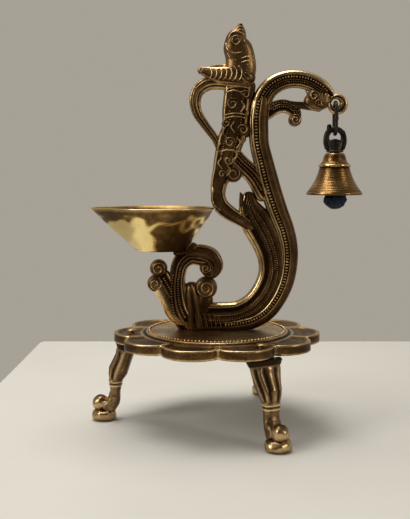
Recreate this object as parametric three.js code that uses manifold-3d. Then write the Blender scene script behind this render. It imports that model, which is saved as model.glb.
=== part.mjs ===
// Brass oil lamp: a peacock casting on a petalled plate with three legs.
// The casting holds an oil bowl and a hanging bell.
// Millimetres, +Z up. The lamp stands on z = 0 and is centred on the origin.
// The front of the lamp faces -Y, the bowl's spout points to -X and the bell hangs on the +X side.

import * as THREE from "three";
import { mergeVertices } from "three/addons/utils/BufferGeometryUtils.js";
import Module from "manifold-3d";

const wasm = await Module();
wasm.setup();

// ---------- driving dimensions ----------

const FIT = 0.3; // gap between pieces that touch

// legs
const LEG_HEIGHT = 40.2;
const FOOT_OVERHANG = 5.5; // from the plate's petal tips out to the middle of a foot
const LEG_ANGLES = { left: 180, front_right: 298, back_right: 62 };
const KNEE_HALF_WIDTH = 7.4; // across the leg, at its top
const ANKLE_RADIUS = 3;
const FOOT_RADIUS = 6.2;
const FOOT_HEIGHT = 6.5;
const TOE_RADIUS = 4;
const LEG_RIVET_INSET = 14.5; // from the middle of a foot in to its rivet

// plate
const PLATE_RADIUS = 52;
const PETAL_COUNT = 10;
const PETAL_DEPTH = 7;
const RIM_WIDTH = 16.5; // from the raised boss out to the petal tips
const PLATE_THICKNESS = 5;
const BOSS_RISE = 1.1;
const BOSS_SLOPE = 0.6; // how far the boss spreads at its foot
const POCKET_INSET = 0.5; // the pocket underneath is this much smaller than the boss
const POCKET_DEPTH = 2.2;

// casting: the pattern is drawn full size, and CASTING_SCALE enlarges or shrinks it
const CASTING_SCALE = 1;
const FOOT_PAD_LENGTH = 25;
const FOOT_PAD_DEPTH = 11;
const FOOT_PAD_HEIGHT = 3.5;

// bowl
const BOWL_RADIUS = 27;
const BOWL_SPOUT = 35.2; // from the bowl's centre to the tip of its spout
const BOWL_FLOOR_RADIUS = 12.6;
const BOWL_HEIGHT = 21.4;
const BOWL_WALL = 1.4;

// link, bell and clapper
const EYE_HALF_DEPTH = 2.1; // half the thickness of the arm's eye
const EYE_WALL = 3; // metal round the eye's hole
const EYE_PLAY = 1.1; // how loosely the link's wire sits in the eye's hole
const LINK_WIRE_RADIUS = 0.9;
const LINK_LENGTH = 17.4;
const BELL_EYE_WIRE_RADIUS = 1.35;
const BELL_EYE_RADIUS = 5.5;
const BELL_NECK_LENGTH = 4.4;
const SHANK_RADIUS = 2;
const BELL_HEIGHT = 20.8;
const BELL_LIP_RADIUS = 13.9;
const BELL_WALL = 1.4;
const CROWN_EXTRA = 0.6; // how much thicker the bell's crown is than its wall
const NUT_THICKNESS = 2;
const NUT_RADIUS = 3.7;
const CLAPPER_WIRE_RADIUS = 0.55;
const CLAPPER_RADIUS = 6;
const CLAPPER_HEIGHT = 11.1;
const CLAPPER_BELOW_LIP = 7.2; // how far the clapper hangs out of the bell

// screws, washers and rivets
const SCREW_RADIUS = 1.5;
const SCREW_HEAD_RADIUS = 3;
const SCREW_HEAD_HEIGHT = 1.8;
const SCREW_BITE = 7; // thread inside the casting
const WASHER_RADIUS = 3.8;
const WASHER_THICKNESS = 0.8;
const BASE_SCREW_SPACING = 13;
const BOWL_SCREW_RADIUS = 1.2;
const BOWL_SCREW_HEAD_RADIUS = 2;
const BOWL_WASHER_RADIUS = 2.5;
const RIVET_RADIUS = 1.5;
const RIVET_HEAD_RADIUS = 2.6;
const RIVET_HEAD_HEIGHT = 1.2;
const RIVET_BITE = 6;

// ---------- levels that follow from them ----------

const plateBottom = LEG_HEIGHT + FIT;
const plateTop = plateBottom + PLATE_THICKNESS;
const bossTop = plateTop + BOSS_RISE;
const castingFoot = bossTop + FIT;
const pocketTop = plateBottom + POCKET_DEPTH;
const bossRadius = PLATE_RADIUS - RIM_WIDTH;
const pocketRadius = bossRadius - POCKET_INSET;
const legReach = PLATE_RADIUS + FOOT_OVERHANG; // from the plate's axis to the middle of a foot
const rivetReach = legReach - LEG_RIVET_INSET;

// places on the casting's pattern: x from the plate's axis, z from the casting's foot
const SEAT_END = [-15.5, 39.6]; // under the right-hand edge of the bowl's floor
const ARM_EYE = [59.4, 112];
const ARM_EYE_HOLE = [58.4, 112.6];
const FOOT_PAD_MIDDLE = -2.5;

const bowlX = SEAT_END[0] * CASTING_SCALE - BOWL_FLOOR_RADIUS;
const bowlBottom = castingFoot + SEAT_END[1] * CASTING_SCALE + FIT;
const holeX = ARM_EYE_HOLE[0] * CASTING_SCALE;
const holeZ = castingFoot + ARM_EYE_HOLE[1] * CASTING_SCALE;
const bowlScrewX = bowlX + BOWL_FLOOR_RADIUS - BOWL_WALL - BOWL_WASHER_RADIUS - FIT;

// How high the middle of a loop's wire is when its bend hangs on the edges of a hole in a thick piece.
function loopTop(holeMiddle, holeRadius, halfThickness, loopHalfWidth) {
  const bendDrop = Math.sqrt((halfThickness + FIT) ** 2 - halfThickness ** 2);
  return holeMiddle - holeRadius - bendDrop + loopHalfWidth;
}

// the chain of hanging pieces, from the arm's eye down
const eyeHoleRadius = LINK_WIRE_RADIUS + EYE_PLAY;
const linkHalfWidth = EYE_HALF_DEPTH + 2 * FIT + LINK_WIRE_RADIUS;
const linkTop = loopTop(holeZ, eyeHoleRadius, EYE_HALF_DEPTH, linkHalfWidth) + LINK_WIRE_RADIUS;
const linkBottom = linkTop - LINK_LENGTH;
const bellEyeTopBar = linkBottom + 2 * LINK_WIRE_RADIUS + FIT + BELL_EYE_WIRE_RADIUS;
const bellEyeCentre = bellEyeTopBar - BELL_EYE_RADIUS + BELL_EYE_WIRE_RADIUS;
const crownTop = bellEyeCentre - BELL_EYE_RADIUS + 2 * BELL_EYE_WIRE_RADIUS - BELL_NECK_LENGTH - FIT;
const bellLip = crownTop - BELL_HEIGHT;
const crownBottom = crownTop - BELL_WALL - CROWN_EXTRA;
const nutTop = crownBottom - FIT;
const nutBottom = nutTop - NUT_THICKNESS;
const crossHoleRadius = 2 * CLAPPER_WIRE_RADIUS + FIT;
const crossHole = nutBottom - FIT - crossHoleRadius;
const shankBottom = crossHole - crossHoleRadius - 1;
const clapperLoopHalfWidth = SHANK_RADIUS + 2 * FIT + CLAPPER_WIRE_RADIUS;
const clapperLoopTop = loopTop(crossHole, crossHoleRadius, SHANK_RADIUS, clapperLoopHalfWidth);
const clapperBottom = bellLip - CLAPPER_BELOW_LIP;
const clapperTop = clapperBottom + CLAPPER_HEIGHT;

// ---------- materials ----------

const metal = (color, roughness) => new THREE.MeshStandardMaterial({ color, roughness, metalness: 1 });
const ANTIQUE_BRASS = metal(0x6b4f26, 0.42);
const POLISHED_BRASS = metal(0xc9a54a, 0.2);
const LEG_BRASS = metal(0xa67c3a, 0.3);
const BELL_BRASS = metal(0x9a6b2c, 0.28);
const DARK_IRON = metal(0x2c2622, 0.5);
const CLAPPER_IRON = metal(0x23262e, 0.55);
const SCREW_BRASS = metal(0xa08040, 0.35);

// ---------- solids and booleans ----------

// Turns a geometry's triangles over if they face inwards.
function faceOut(geometry) {
  const position = geometry.attributes.position;
  const index = geometry.index.array;
  const corner = (i) => new THREE.Vector3().fromBufferAttribute(position, index[i]);
  let volume = 0;
  for (let i = 0; i < index.length; i += 3) {
    volume += corner(i).dot(corner(i + 1).cross(corner(i + 2)));
  }
  if (volume < 0) {
    for (let i = 0; i < index.length; i += 3) {
      [index[i], index[i + 1]] = [index[i + 1], index[i]];
    }
  }
  return geometry;
}

function toSolid(geometry) {
  const bare = geometry.clone();
  bare.deleteAttribute("normal");
  bare.deleteAttribute("uv");
  const merged = faceOut(mergeVertices(bare, 1e-4));
  const mesh = new wasm.Mesh({
    numProp: 3,
    vertProperties: new Float32Array(merged.attributes.position.array),
    triVerts: new Uint32Array(merged.index.array),
  });
  return new wasm.Manifold(mesh);
}

function toGeometry(solid) {
  const mesh = solid.getMesh();
  const geometry = new THREE.BufferGeometry();
  geometry.setAttribute("position", new THREE.BufferAttribute(mesh.vertProperties, 3));
  geometry.setIndex(new THREE.BufferAttribute(mesh.triVerts, 1));
  return geometry;
}

const join = (geometries) => geometries.map(toSolid).reduce((all, next) => all.add(next));
const cut = (solid, geometries) => geometries.map(toSolid).reduce((all, next) => all.subtract(next), solid);

// Skins a list of rings, each a list of the same number of points. Both ends are capped.
function loft(rings) {
  const sides = rings[0].length;
  const points = rings.flat();
  const index = [];
  for (let r = 0; r + 1 < rings.length; r += 1) {
    for (let s = 0; s < sides; s += 1) {
      const next = (s + 1) % sides;
      const a = r * sides + s;
      const b = r * sides + next;
      index.push(a, b, b + sides, a, b + sides, a + sides);
    }
  }
  for (const end of [0, rings.length - 1]) {
    const middle = points.length;
    points.push(rings[end].reduce((sum, p) => sum.add(p), new THREE.Vector3()).divideScalar(sides));
    for (let s = 0; s < sides; s += 1) {
      const a = end * sides + s;
      const b = end * sides + ((s + 1) % sides);
      index.push(...(end === 0 ? [b, a, middle] : [a, b, middle]));
    }
  }
  const geometry = new THREE.BufferGeometry().setFromPoints(points);
  geometry.setIndex(index);
  return geometry;
}

// A cylinder or cone standing on z = bottom.
function post(bottomRadius, topRadius, bottom, top, sides = 20) {
  const geometry = new THREE.CylinderGeometry(topRadius, bottomRadius, top - bottom, sides);
  return geometry.rotateX(Math.PI / 2).translate(0, 0, (top + bottom) / 2);
}

// The hole that a fastener of this radius needs.
function fastenerHole(radius, x, bottom, top) {
  return post(radius + FIT, radius + FIT, bottom, top).translate(x, 0, 0);
}

// A profile of [radius, z] points turned about the Z axis.
function turned(profile, sides) {
  const points = profile.map(([radius, z]) => new THREE.Vector2(radius, z));
  return new THREE.LatheGeometry(points, sides).rotateX(Math.PI / 2);
}

// ---------- bars: the casting and the legs are drawn as tapering bars ----------

const CHAMFER = 0.5;
const BAR_SECTION = [
  [1, CHAMFER], [CHAMFER, 1], [-CHAMFER, 1], [-1, CHAMFER],
  [-1, -CHAMFER], [-CHAMFER, -1], [CHAMFER, -1], [1, -CHAMFER],
];
const BAR_STEP = 4.5; // length of bar between two sections
const END_ROUNDING = [[0.8, 0.55], [0.45, 0.85]]; // how wide, how far along

// Stations are [x, z, half width in the X-Z plane, half depth along Y].
function bar(stations, step = BAR_STEP) {
  const middles = stations.map(([x, z]) => new THREE.Vector3(x, 0, z));
  const line = new THREE.CatmullRomCurve3(middles, false, "centripetal");
  const length = line.getLength();
  const count = Math.max(4, Math.round(length / step));
  const ringAt = (t, shift, scale) => {
    const place = t * (stations.length - 1);
    const before = Math.min(Math.floor(place), stations.length - 2);
    const mix = (k) => THREE.MathUtils.lerp(stations[before][k], stations[before + 1][k], place - before);
    const centre = line.getPoint(t);
    const along = line.getTangent(t);
    const across = new THREE.Vector3(-along.z, 0, along.x);
    centre.addScaledVector(along, shift * mix(2));
    return BAR_SECTION.map(([w, d]) => {
      const point = centre.clone().addScaledVector(across, w * mix(2) * scale);
      return point.setY(d * mix(3) * (1 + scale) / 2);
    });
  };
  const rings = [];
  for (const [scale, shift] of [...END_ROUNDING].reverse()) {
    rings.push(ringAt(0, -shift, scale));
  }
  for (let i = 0; i <= count; i += 1) {
    rings.push(ringAt(i / count, 0, 1));
  }
  for (const [scale, shift] of END_ROUNDING) {
    rings.push(ringAt(1, shift, scale));
  }
  return loft(rings);
}

// A round boss on both faces of the casting.
function disc([x, z], radius, halfDepth, sides = 20) {
  const edge = 0.7 * halfDepth;
  const profile = [[0, -halfDepth], [0.8 * radius, -halfDepth], [radius, -edge],
    [radius, edge], [0.8 * radius, halfDepth], [0, halfDepth]];
  const points = profile.map(([r, y]) => new THREE.Vector2(r, y));
  return new THREE.LatheGeometry(points, sides).translate(x, 0, z);
}

// ---------- base plate ----------

function petalOutline(radius) {
  const pointsPerPetal = 10;
  const count = PETAL_COUNT * pointsPerPetal;
  const points = [];
  for (let i = 0; i < count; i += 1) {
    const angle = (2 * Math.PI * i) / count;
    const bulge = Math.abs(Math.cos((PETAL_COUNT * angle) / 2)) ** 0.8;
    const r = radius - PETAL_DEPTH * (1 - bulge);
    points.push(new THREE.Vector2(r * Math.cos(angle), r * Math.sin(angle)));
  }
  return new THREE.Shape(points);
}

function basePlate() {
  const outline = petalOutline(PLATE_RADIUS);
  const body = new THREE.ExtrudeGeometry(outline, { depth: PLATE_THICKNESS, bevelEnabled: false });
  body.translate(0, 0, plateBottom);
  const boss = post(bossRadius + BOSS_SLOPE, bossRadius, plateTop - 1, bossTop, 48);
  const pocket = post(pocketRadius, pocketRadius, plateBottom - 1, pocketTop, 48);
  const rivetHoles = Object.values(LEG_ANGLES).map((degrees) => {
    const angle = THREE.MathUtils.degToRad(degrees);
    return fastenerHole(RIVET_RADIUS, rivetReach, plateBottom - 1, plateTop + 1).rotateZ(angle);
  });
  const screwHoles = baseScrewPlaces().map((x) => fastenerHole(SCREW_RADIUS, x, plateBottom, bossTop + 1));
  return cut(join([body, boss]), [pocket, ...rivetHoles, ...screwHoles]);
}

// ---------- legs: drawn with the lamp's axis at x = 0 and the foot towards +X ----------

function leg() {
  const ankle = ANKLE_RADIUS;
  const knee = KNEE_HALF_WIDTH;
  const level = (share) => FOOT_HEIGHT + share * (LEG_HEIGHT - FOOT_HEIGHT);
  const shin = bar([
    [legReach - 12.5, level(1.237), 5.6, knee + 1.4],
    [legReach - 12.5, level(1), 5.4, knee + 1],
    [legReach - 10.5, level(0.777), 4.6, knee],
    [legReach - 7.6, level(0.564), 5.2, 0.8 * knee],
    [legReach - 6.2, level(0.43), 3.8, ankle + 1.6],
    [legReach - 5.8, level(0.252), ankle, ankle + 1.3],
    [legReach - 4.5, level(0.089), ankle + 0.8, ankle + 1.5],
    [legReach - 1.5, FOOT_HEIGHT - 1, ankle + 1, ankle + 1.5],
  ], 3);
  const pad = turned([[0, 0], [0.8 * FOOT_RADIUS, 0], [FOOT_RADIUS, 0.25 * FOOT_HEIGHT],
    [FOOT_RADIUS, 0.65 * FOOT_HEIGHT], [0.75 * FOOT_RADIUS, FOOT_HEIGHT], [0, FOOT_HEIGHT]], 20);
  pad.translate(legReach, 0, 0);
  const toe = new THREE.SphereGeometry(TOE_RADIUS, 14, 9);
  toe.translate(legReach + 1.8, 0, FOOT_HEIGHT + 0.5 * TOE_RADIUS);
  const above = new THREE.BoxGeometry(40, 40, 20).translate(legReach - 10, 0, LEG_HEIGHT + 10);
  const rivetHole = fastenerHole(RIVET_RADIUS, rivetReach, LEG_HEIGHT - RIVET_BITE - FIT, LEG_HEIGHT + 1);
  return cut(join([shin, pad, toe]), [above, rivetHole]);
}

function legRivet() {
  const underHead = plateTop + FIT;
  const tip = LEG_HEIGHT - RIVET_BITE;
  const top = underHead + RIVET_HEAD_HEIGHT;
  const profile = [
    [0, tip], [RIVET_RADIUS, tip], [RIVET_RADIUS, underHead], [RIVET_HEAD_RADIUS, underHead],
    [0.95 * RIVET_HEAD_RADIUS, underHead + 0.5 * RIVET_HEAD_HEIGHT], [0.6 * RIVET_HEAD_RADIUS, top - 0.1],
    [0, top],
  ];
  return turned(profile, 20).translate(rivetReach, 0, 0);
}

// ---------- peacock casting: x from the plate's axis, z from the casting's foot ----------

const TAIL_DEPTH = 4.2;
const EYE_DEPTH_ON_PATTERN = EYE_HALF_DEPTH / CASTING_SCALE; // the eye keeps its thickness at any scale
const TAIL = [
  [21.5, 113, 4.6, TAIL_DEPTH], [20.5, 106, 4.9, TAIL_DEPTH], [20.5, 99, 4.9, TAIL_DEPTH],
  [21, 92, 4.8, TAIL_DEPTH], [23, 84, 4.9, TAIL_DEPTH], [25, 76, 5.2, TAIL_DEPTH],
  [27.5, 67.5, 5.2, TAIL_DEPTH], [30.5, 59, 5, TAIL_DEPTH], [34, 50, 4.7, TAIL_DEPTH],
  [36, 41, 4.5, TAIL_DEPTH], [36, 32, 4.3, TAIL_DEPTH], [34.2, 23, 4.2, TAIL_DEPTH],
  [30.5, 15, 4.1, TAIL_DEPTH], [25.5, 8.5, 4, TAIL_DEPTH], [18.5, 4, 3.8, TAIL_DEPTH],
  [10, 2, 3.6, TAIL_DEPTH], [0, 1.5, 3.4, TAIL_DEPTH],
];
const INNER_FEATHER = [
  [15.7, 66.5, 3.2, 3.2], [16.2, 62, 5.4, 3.4], [18, 57, 7.6, 3.6], [21, 52, 8.3, 3.7], [25, 44, 7.6, 3.7],
  [27.5, 36, 7, 3.7], [27.8, 28, 7, 3.7], [25.2, 20, 7, 3.7], [19.3, 12.5, 6.6, 3.8],
  [11, 8, 6.2, 4], [2, 7, 6.5, 4.2], [-6, 7, 6.5, 4.4],
];
const ARCH = [
  [20.8, 106, 5, 3.8], [21.8, 113, 4.9, 3.8], [25.5, 119.5, 4.7, 3.7], [31.5, 123.3, 4.5, 3.6],
  [38.5, 124.4, 4.3, 3.5], [45.5, 123, 4.4, 3.3], [51.5, 119.8, 4.8, 2.9],
  [56, 115.8, 4.3, EYE_DEPTH_ON_PATTERN],
];
const ARM_HEAD = [
  [46, 113, 4, 3.4], [49.5, 113.6, 5.6, 3.8], [53, 114, 5.2, 2.9], [56, 113.4, 4, EYE_DEPTH_ON_PATTERN],
];
const ARM_CURL = [
  [24, 107, 3, 2.8], [29, 110.5, 3.4, 2.8], [34, 111, 3.3, 2.8], [38.2, 108.3, 3.1, 3], [38.6, 103.8, 2.8, 3],
];
const CURL_BRIDGE = [[33, 112, 2, 2.6], [39, 111.8, 1.6, 2.8], [45, 111.2, 2, 3]];
const FEATHER_TIP = [[14.8, 59, 3.8, 3.3], [12.9, 64.6, 2, 2.9], [11.7, 68.4, 0.5, 1.6]];
const TRUNK = [
  [11, 125, 7, 4.6], [10, 116, 6.8, 4.6], [9.2, 108, 6.8, 4.6], [8.8, 101, 6.2, 4.6], [6.8, 94.5, 6.6, 4.6],
  [4.8, 87, 6, 4.4], [3.2, 80, 5.4, 4.2], [1, 73, 4.1, 4], [0.6, 67, 3.6, 4], [2.2, 62, 4, 4],
  [6.6, 58.2, 3.7, 3.8], [11.8, 55, 3.3, 3.7], [17, 51, 2.4, 3.6],
];
const TRUNK_WEB = [[15.5, 121, 3.5, 2.4], [14.5, 112, 3.2, 2.4], [14.3, 104, 3, 2.4], [14.5, 98, 2.6, 2.4]];
const TRUNK_BRANCH = [[6, 89, 4.6, 3.9], [12, 82.8, 4.3, 3.8], [18.5, 76.5, 4.5, 3.8], [23.5, 68.5, 5, 3.8]];
const BIRD_STRAP = [
  [7, 121, 2.8, 3], [1, 122.4, 3.2, 2.8], [-5, 121.9, 3.4, 2.6], [-9.6, 118.3, 3.1, 2.5],
  [-10.9, 113, 2.8, 2.4], [-9.8, 108, 2.5, 2.3], [-6.9, 103.3, 2.2, 2.2], [-3.7, 99, 2, 2.1],
  [-1, 95.4, 1.9, 2.1], [1.5, 91, 2.2, 2.4],
];
const WING = [
  [15, 125, 4.5, 5.2], [9, 125.6, 5, 5.8], [2, 126, 4.4, 5], [-3.4, 127.2, 3, 3.8], [-7.6, 128.4, 1.9, 2.8],
];
const BIRD = [
  [11, 123, 7.2, 5], [11.6, 130, 7.6, 5.6], [11.2, 135, 7.2, 5.2], [9.9, 140, 7, 5.4], [9.8, 144, 5.4, 4.4],
  [11, 147.5, 3.1, 2.6], [11.3, 149.8, 1.5, 1.8],
];
const SCROLL = [
  [-14.5, 2, 5.5, 4.6], [-18.8, 10, 5.4, 4.6], [-20.2, 19, 4.8, 4.4], [-19.8, 27, 4, 4.2],
  [-18, 33.5, 4.4, 4.2], [-13, 37.6, 5.2, 4.2], [-7.5, 36.8, 5, 4.2],
];
const LEAF = [
  [-14, 3, 4, 4.2], [-21.5, 7.5, 3.6, 4], [-25, 14, 3.4, 3.8], [-28, 20, 3.6, 3.8], [-30.3, 23, 3.8, 3.8],
];
const LEAF_BUD = [[-19, 12, 3, 3.8], [-23.5, 20.5, 3.4, 3.8], [-27, 27, 3.6, 3.8]];
const ROOT = [[-11, 2, 8, 4.8], [-11.5, 10, 7.5, 4.4], [-12.5, 17, 6, 4.2], [-12.8, 20, 4.6, 4]];
const ROOT_NECK = [[-8, 9, 5, 4.2], [-6, 15, 4.2, 4.2]];
const BOWL_SEAT = [[-20.8, 38.6, 1.4, 4.2], [-18.5, 38.6, 1.6, 4.2], [-12, 40.5, 3.4, 4.2]];
const BARS = [
  TAIL, INNER_FEATHER, FEATHER_TIP, ARCH, ARM_HEAD, ARM_CURL, CURL_BRIDGE, TRUNK, TRUNK_WEB, TRUNK_BRANCH,
  BIRD_STRAP, WING, BIRD, SCROLL, LEAF, LEAF_BUD, ROOT, ROOT_NECK, BOWL_SEAT,
];
const DISCS = [
  [[-4.8, 32.2], 6.3, 4.8], [[-5.4, 21], 5.6, 4.8], [[-29.3, 30.8], 4.4, 4.4], [[-30.8, 23.2], 4.2, 4.4],
  [[8, 78], 4.4, 4.6],
];

// Where the two base screws stand, as x on the plate.
function baseScrewPlaces() {
  const middle = FOOT_PAD_MIDDLE * CASTING_SCALE;
  return [middle - BASE_SCREW_SPACING / 2, middle + BASE_SCREW_SPACING / 2];
}

// The bowl's outer shape, grown by a gap all round and filled in: what the casting leaves free for the bowl.
function bowlEnvelope() {
  return loft([
    bowlRing(BOWL_FLOOR_RADIUS, 0, FIT, bowlBottom - FIT),
    bowlRing(BOWL_RADIUS, BOWL_SPOUT - BOWL_RADIUS, 2 * FIT, bowlBottom + BOWL_HEIGHT + FIT),
  ]);
}

function peacockCasting() {
  const k = CASTING_SCALE;
  const scaled = (geometry) => geometry.scale(k, k, k).translate(0, 0, castingFoot);
  const bars = BARS.map((stations) => scaled(bar(stations)));
  const discs = DISCS.map(([centre, radius, halfDepth]) => scaled(disc(centre, radius, halfDepth)));
  const eye = disc([ARM_EYE[0] * k, 0], eyeHoleRadius + EYE_WALL, EYE_HALF_DEPTH, 28)
    .translate(0, 0, castingFoot + ARM_EYE[1] * k);
  const pad = new THREE.BoxGeometry(FOOT_PAD_LENGTH, FOOT_PAD_DEPTH, FOOT_PAD_HEIGHT)
    .translate(FOOT_PAD_MIDDLE * k, 0, castingFoot + FOOT_PAD_HEIGHT / 2);
  const below = new THREE.BoxGeometry(200, 60, 30).translate(0, 0, castingFoot - 15);
  const hole = new THREE.CylinderGeometry(eyeHoleRadius, eyeHoleRadius, 20, 24).translate(holeX, 0, holeZ);
  const screwTip = castingFoot + SCREW_BITE + FIT;
  const screwHoles = [
    ...baseScrewPlaces().map((x) => fastenerHole(SCREW_RADIUS, x, castingFoot - 1, screwTip)),
    fastenerHole(BOWL_SCREW_RADIUS, bowlScrewX, bowlBottom - SCREW_BITE - FIT, bowlBottom + 1),
  ];
  return cut(join([...bars, ...discs, eye, pad]), [below, hole, bowlEnvelope(), ...screwHoles]);
}

function baseScrew(x) {
  const underWasher = pocketTop - FIT - WASHER_THICKNESS - FIT;
  const tip = castingFoot + SCREW_BITE;
  const profile = [[0, underWasher - SCREW_HEAD_HEIGHT], [SCREW_HEAD_RADIUS, underWasher - SCREW_HEAD_HEIGHT],
    [SCREW_HEAD_RADIUS, underWasher], [SCREW_RADIUS, underWasher], [SCREW_RADIUS, tip], [0, tip]];
  return turned(profile, 20).translate(x, 0, 0);
}

function washer(x, bottom, outerRadius, boreRadius) {
  const top = bottom + WASHER_THICKNESS;
  const profile = [
    [boreRadius, bottom], [outerRadius, bottom], [outerRadius, top], [boreRadius, top], [boreRadius, bottom],
  ];
  return turned(profile, 24).translate(x, 0, 0);
}

// ---------- bowl ----------

const BOWL_SIDES = 56;

// One level of the bowl's wall: a circle, drawn out by spout towards -X and grown by offset.
function bowlRing(radius, spout, offset, z) {
  const ring = [];
  for (let i = 0; i < BOWL_SIDES; i += 1) {
    const angle = (2 * Math.PI * i) / BOWL_SIDES;
    const towardsSpout = Math.max(0, -Math.cos(angle));
    const r = radius + offset + spout * towardsSpout ** 12;
    ring.push(new THREE.Vector3(bowlX + r * Math.cos(angle), r * Math.sin(angle), z));
  }
  return ring;
}

function oilBowl() {
  const spout = BOWL_SPOUT - BOWL_RADIUS;
  const rim = bowlBottom + BOWL_HEIGHT;
  const body = loft([
    bowlRing(BOWL_FLOOR_RADIUS, 0, 0, bowlBottom),
    bowlRing(BOWL_RADIUS, spout, 0, rim),
    bowlRing(BOWL_RADIUS, spout, -BOWL_WALL, rim),
    bowlRing(BOWL_FLOOR_RADIUS, 0, -BOWL_WALL, bowlBottom + BOWL_WALL),
  ]);
  const screwHole = fastenerHole(BOWL_SCREW_RADIUS, bowlScrewX, bowlBottom - 1, bowlBottom + BOWL_WALL + 1);
  return cut(toSolid(body), [screwHole]);
}

const bowlWasherBottom = bowlBottom + BOWL_WALL + FIT;

function bowlScrew() {
  const underHead = bowlWasherBottom + WASHER_THICKNESS + FIT;
  const tip = bowlBottom - SCREW_BITE;
  const top = underHead + SCREW_HEAD_HEIGHT;
  const profile = [[0, tip], [BOWL_SCREW_RADIUS, tip], [BOWL_SCREW_RADIUS, underHead],
    [BOWL_SCREW_HEAD_RADIUS, underHead], [0.75 * BOWL_SCREW_HEAD_RADIUS, top], [0, top]];
  return turned(profile, 20).translate(bowlScrewX, 0, 0);
}

// ---------- link, bell and clapper ----------

// A wire bent into an upright loop round x = 0, with straight sides and round ends.
class LoopCurve extends THREE.Curve {
  constructor(halfWidth, top, bottom) {
    super();
    this.halfWidth = halfWidth;
    this.arcs = [top - halfWidth, bottom + halfWidth];
  }

  getPoint(t, target = new THREE.Vector3()) {
    const [upper, lower] = this.arcs;
    const straight = upper - lower;
    const bend = Math.PI * this.halfWidth;
    let s = (t % 1) * 2 * (straight + bend);
    const half = s >= straight + bend ? -1 : 1;
    s -= half < 0 ? straight + bend : 0;
    const centre = half > 0 ? upper : lower;
    if (s < bend) {
      const angle = s / this.halfWidth;
      const reach = half * this.halfWidth;
      return target.set(0, reach * Math.cos(angle), centre + reach * Math.sin(angle));
    }
    return target.set(0, -half * this.halfWidth, centre - half * (s - bend));
  }
}

// A closed wire loop in the Y-Z plane, whose wire runs through [x, 0, top].
function wireLoop(halfWidth, top, bottom, wireRadius) {
  return new THREE.TubeGeometry(new LoopCurve(halfWidth, top, bottom), 28, wireRadius, 8, true);
}

function chainLink() {
  const r = LINK_WIRE_RADIUS;
  return toSolid(wireLoop(linkHalfWidth, linkTop - r, linkBottom + r, r).translate(holeX, 0, 0));
}

function bellEye() {
  const ringRadius = BELL_EYE_RADIUS - BELL_EYE_WIRE_RADIUS;
  const ring = new THREE.TorusGeometry(ringRadius, BELL_EYE_WIRE_RADIUS, 10, 32).rotateX(Math.PI / 2);
  ring.translate(0, 0, bellEyeCentre);
  const neckTop = bellEyeCentre - ringRadius;
  const neckBottom = crownTop + FIT;
  const neck = bar([
    [0, neckTop + 0.4, 0.8 * BELL_EYE_RADIUS, 1.7],
    [0, (neckTop + neckBottom) / 2, 4.2, 1.9],
    [0, neckBottom - 2, 3.9, 2.1],
  ], 1.5);
  const belowNeck = new THREE.BoxGeometry(20, 20, 10).translate(0, 0, neckBottom - 5);
  const shank = post(SHANK_RADIUS, SHANK_RADIUS, shankBottom, neckBottom + 1);
  const hole = new THREE.CylinderGeometry(crossHoleRadius, crossHoleRadius, 20, 20);
  hole.translate(0, 0, crossHole);
  const flange = cut(join([ring, neck]), [belowNeck]);
  return cut(flange.add(toSolid(shank)), [hole]).translate([holeX, 0, 0]);
}

function bellDome() {
  const lip = BELL_LIP_RADIUS;
  const level = (share) => crownTop - share * BELL_HEIGHT;
  const bore = SHANK_RADIUS + FIT;
  const outer = [
    [bore, crownTop], [0.31 * lip, crownTop], [0.365 * lip, level(0.06)], [0.425 * lip, level(0.18)],
    [0.49 * lip, level(0.26)], [0.57 * lip, level(0.285)], [0.575 * lip, level(0.33)],
    [0.54 * lip, level(0.355)], [0.605 * lip, level(0.5)], [0.695 * lip, level(0.65)],
    [0.825 * lip, level(0.8)], [0.97 * lip, level(0.93)], [lip, level(1)],
  ];
  const inner = [
    [lip - BELL_WALL, level(1)], [0.84 * lip - 1.2 * BELL_WALL, level(0.85)],
    [0.695 * lip - BELL_WALL, level(0.66)], [0.605 * lip - BELL_WALL, level(0.5)],
    [0.54 * lip - BELL_WALL, level(0.36)],
    [0.45 * lip - BELL_WALL, level(0.22)], [0.3 * lip, crownBottom], [bore, crownBottom], [bore, crownTop],
  ];
  return toSolid(turned([...outer, ...inner], 32).translate(holeX, 0, 0));
}

function bellNut() {
  const nut = post(NUT_RADIUS, NUT_RADIUS, nutBottom, nutTop, 6);
  const bore = post(SHANK_RADIUS + FIT, SHANK_RADIUS + FIT, nutBottom - 1, nutTop + 1);
  return cut(toSolid(nut), [bore]).translate([holeX, 0, 0]);
}

const clapperLoopBottom = shankBottom - FIT - CLAPPER_WIRE_RADIUS;

function clapperWire() {
  const wire = CLAPPER_WIRE_RADIUS;
  const stemTop = clapperLoopBottom - 0.8 * clapperLoopHalfWidth;
  const loop = wireLoop(clapperLoopHalfWidth, clapperLoopTop, stemTop, wire);
  const stem = post(wire, wire, clapperTop - CLAPPER_RADIUS * 0.8, stemTop, 10);
  return join([loop, stem]).translate([holeX, 0, 0]);
}

function clapperBall() {
  const level = (share) => clapperBottom + share * (clapperTop - clapperBottom);
  const r = CLAPPER_RADIUS;
  const profile = [[0, level(0)], [0.45 * r, level(0.06)], [0.9 * r, level(0.25)], [r, level(0.45)],
    [0.85 * r, level(0.7)], [0.45 * r, level(0.93)], [0, level(1)]];
  const boreRadius = CLAPPER_WIRE_RADIUS + FIT;
  const bore = post(boreRadius, boreRadius, clapperTop - 0.8 * r - FIT, clapperTop + 1, 12);
  return cut(toSolid(turned(profile, 14)), [bore]).translate([holeX, 0, 0]);
}

// ---------- assembly ----------

const lamp = new THREE.Group();

function place(parent, name, solid, material) {
  const mesh = new THREE.Mesh(toGeometry(solid), material);
  mesh.name = name;
  parent.add(mesh);
}

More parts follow.
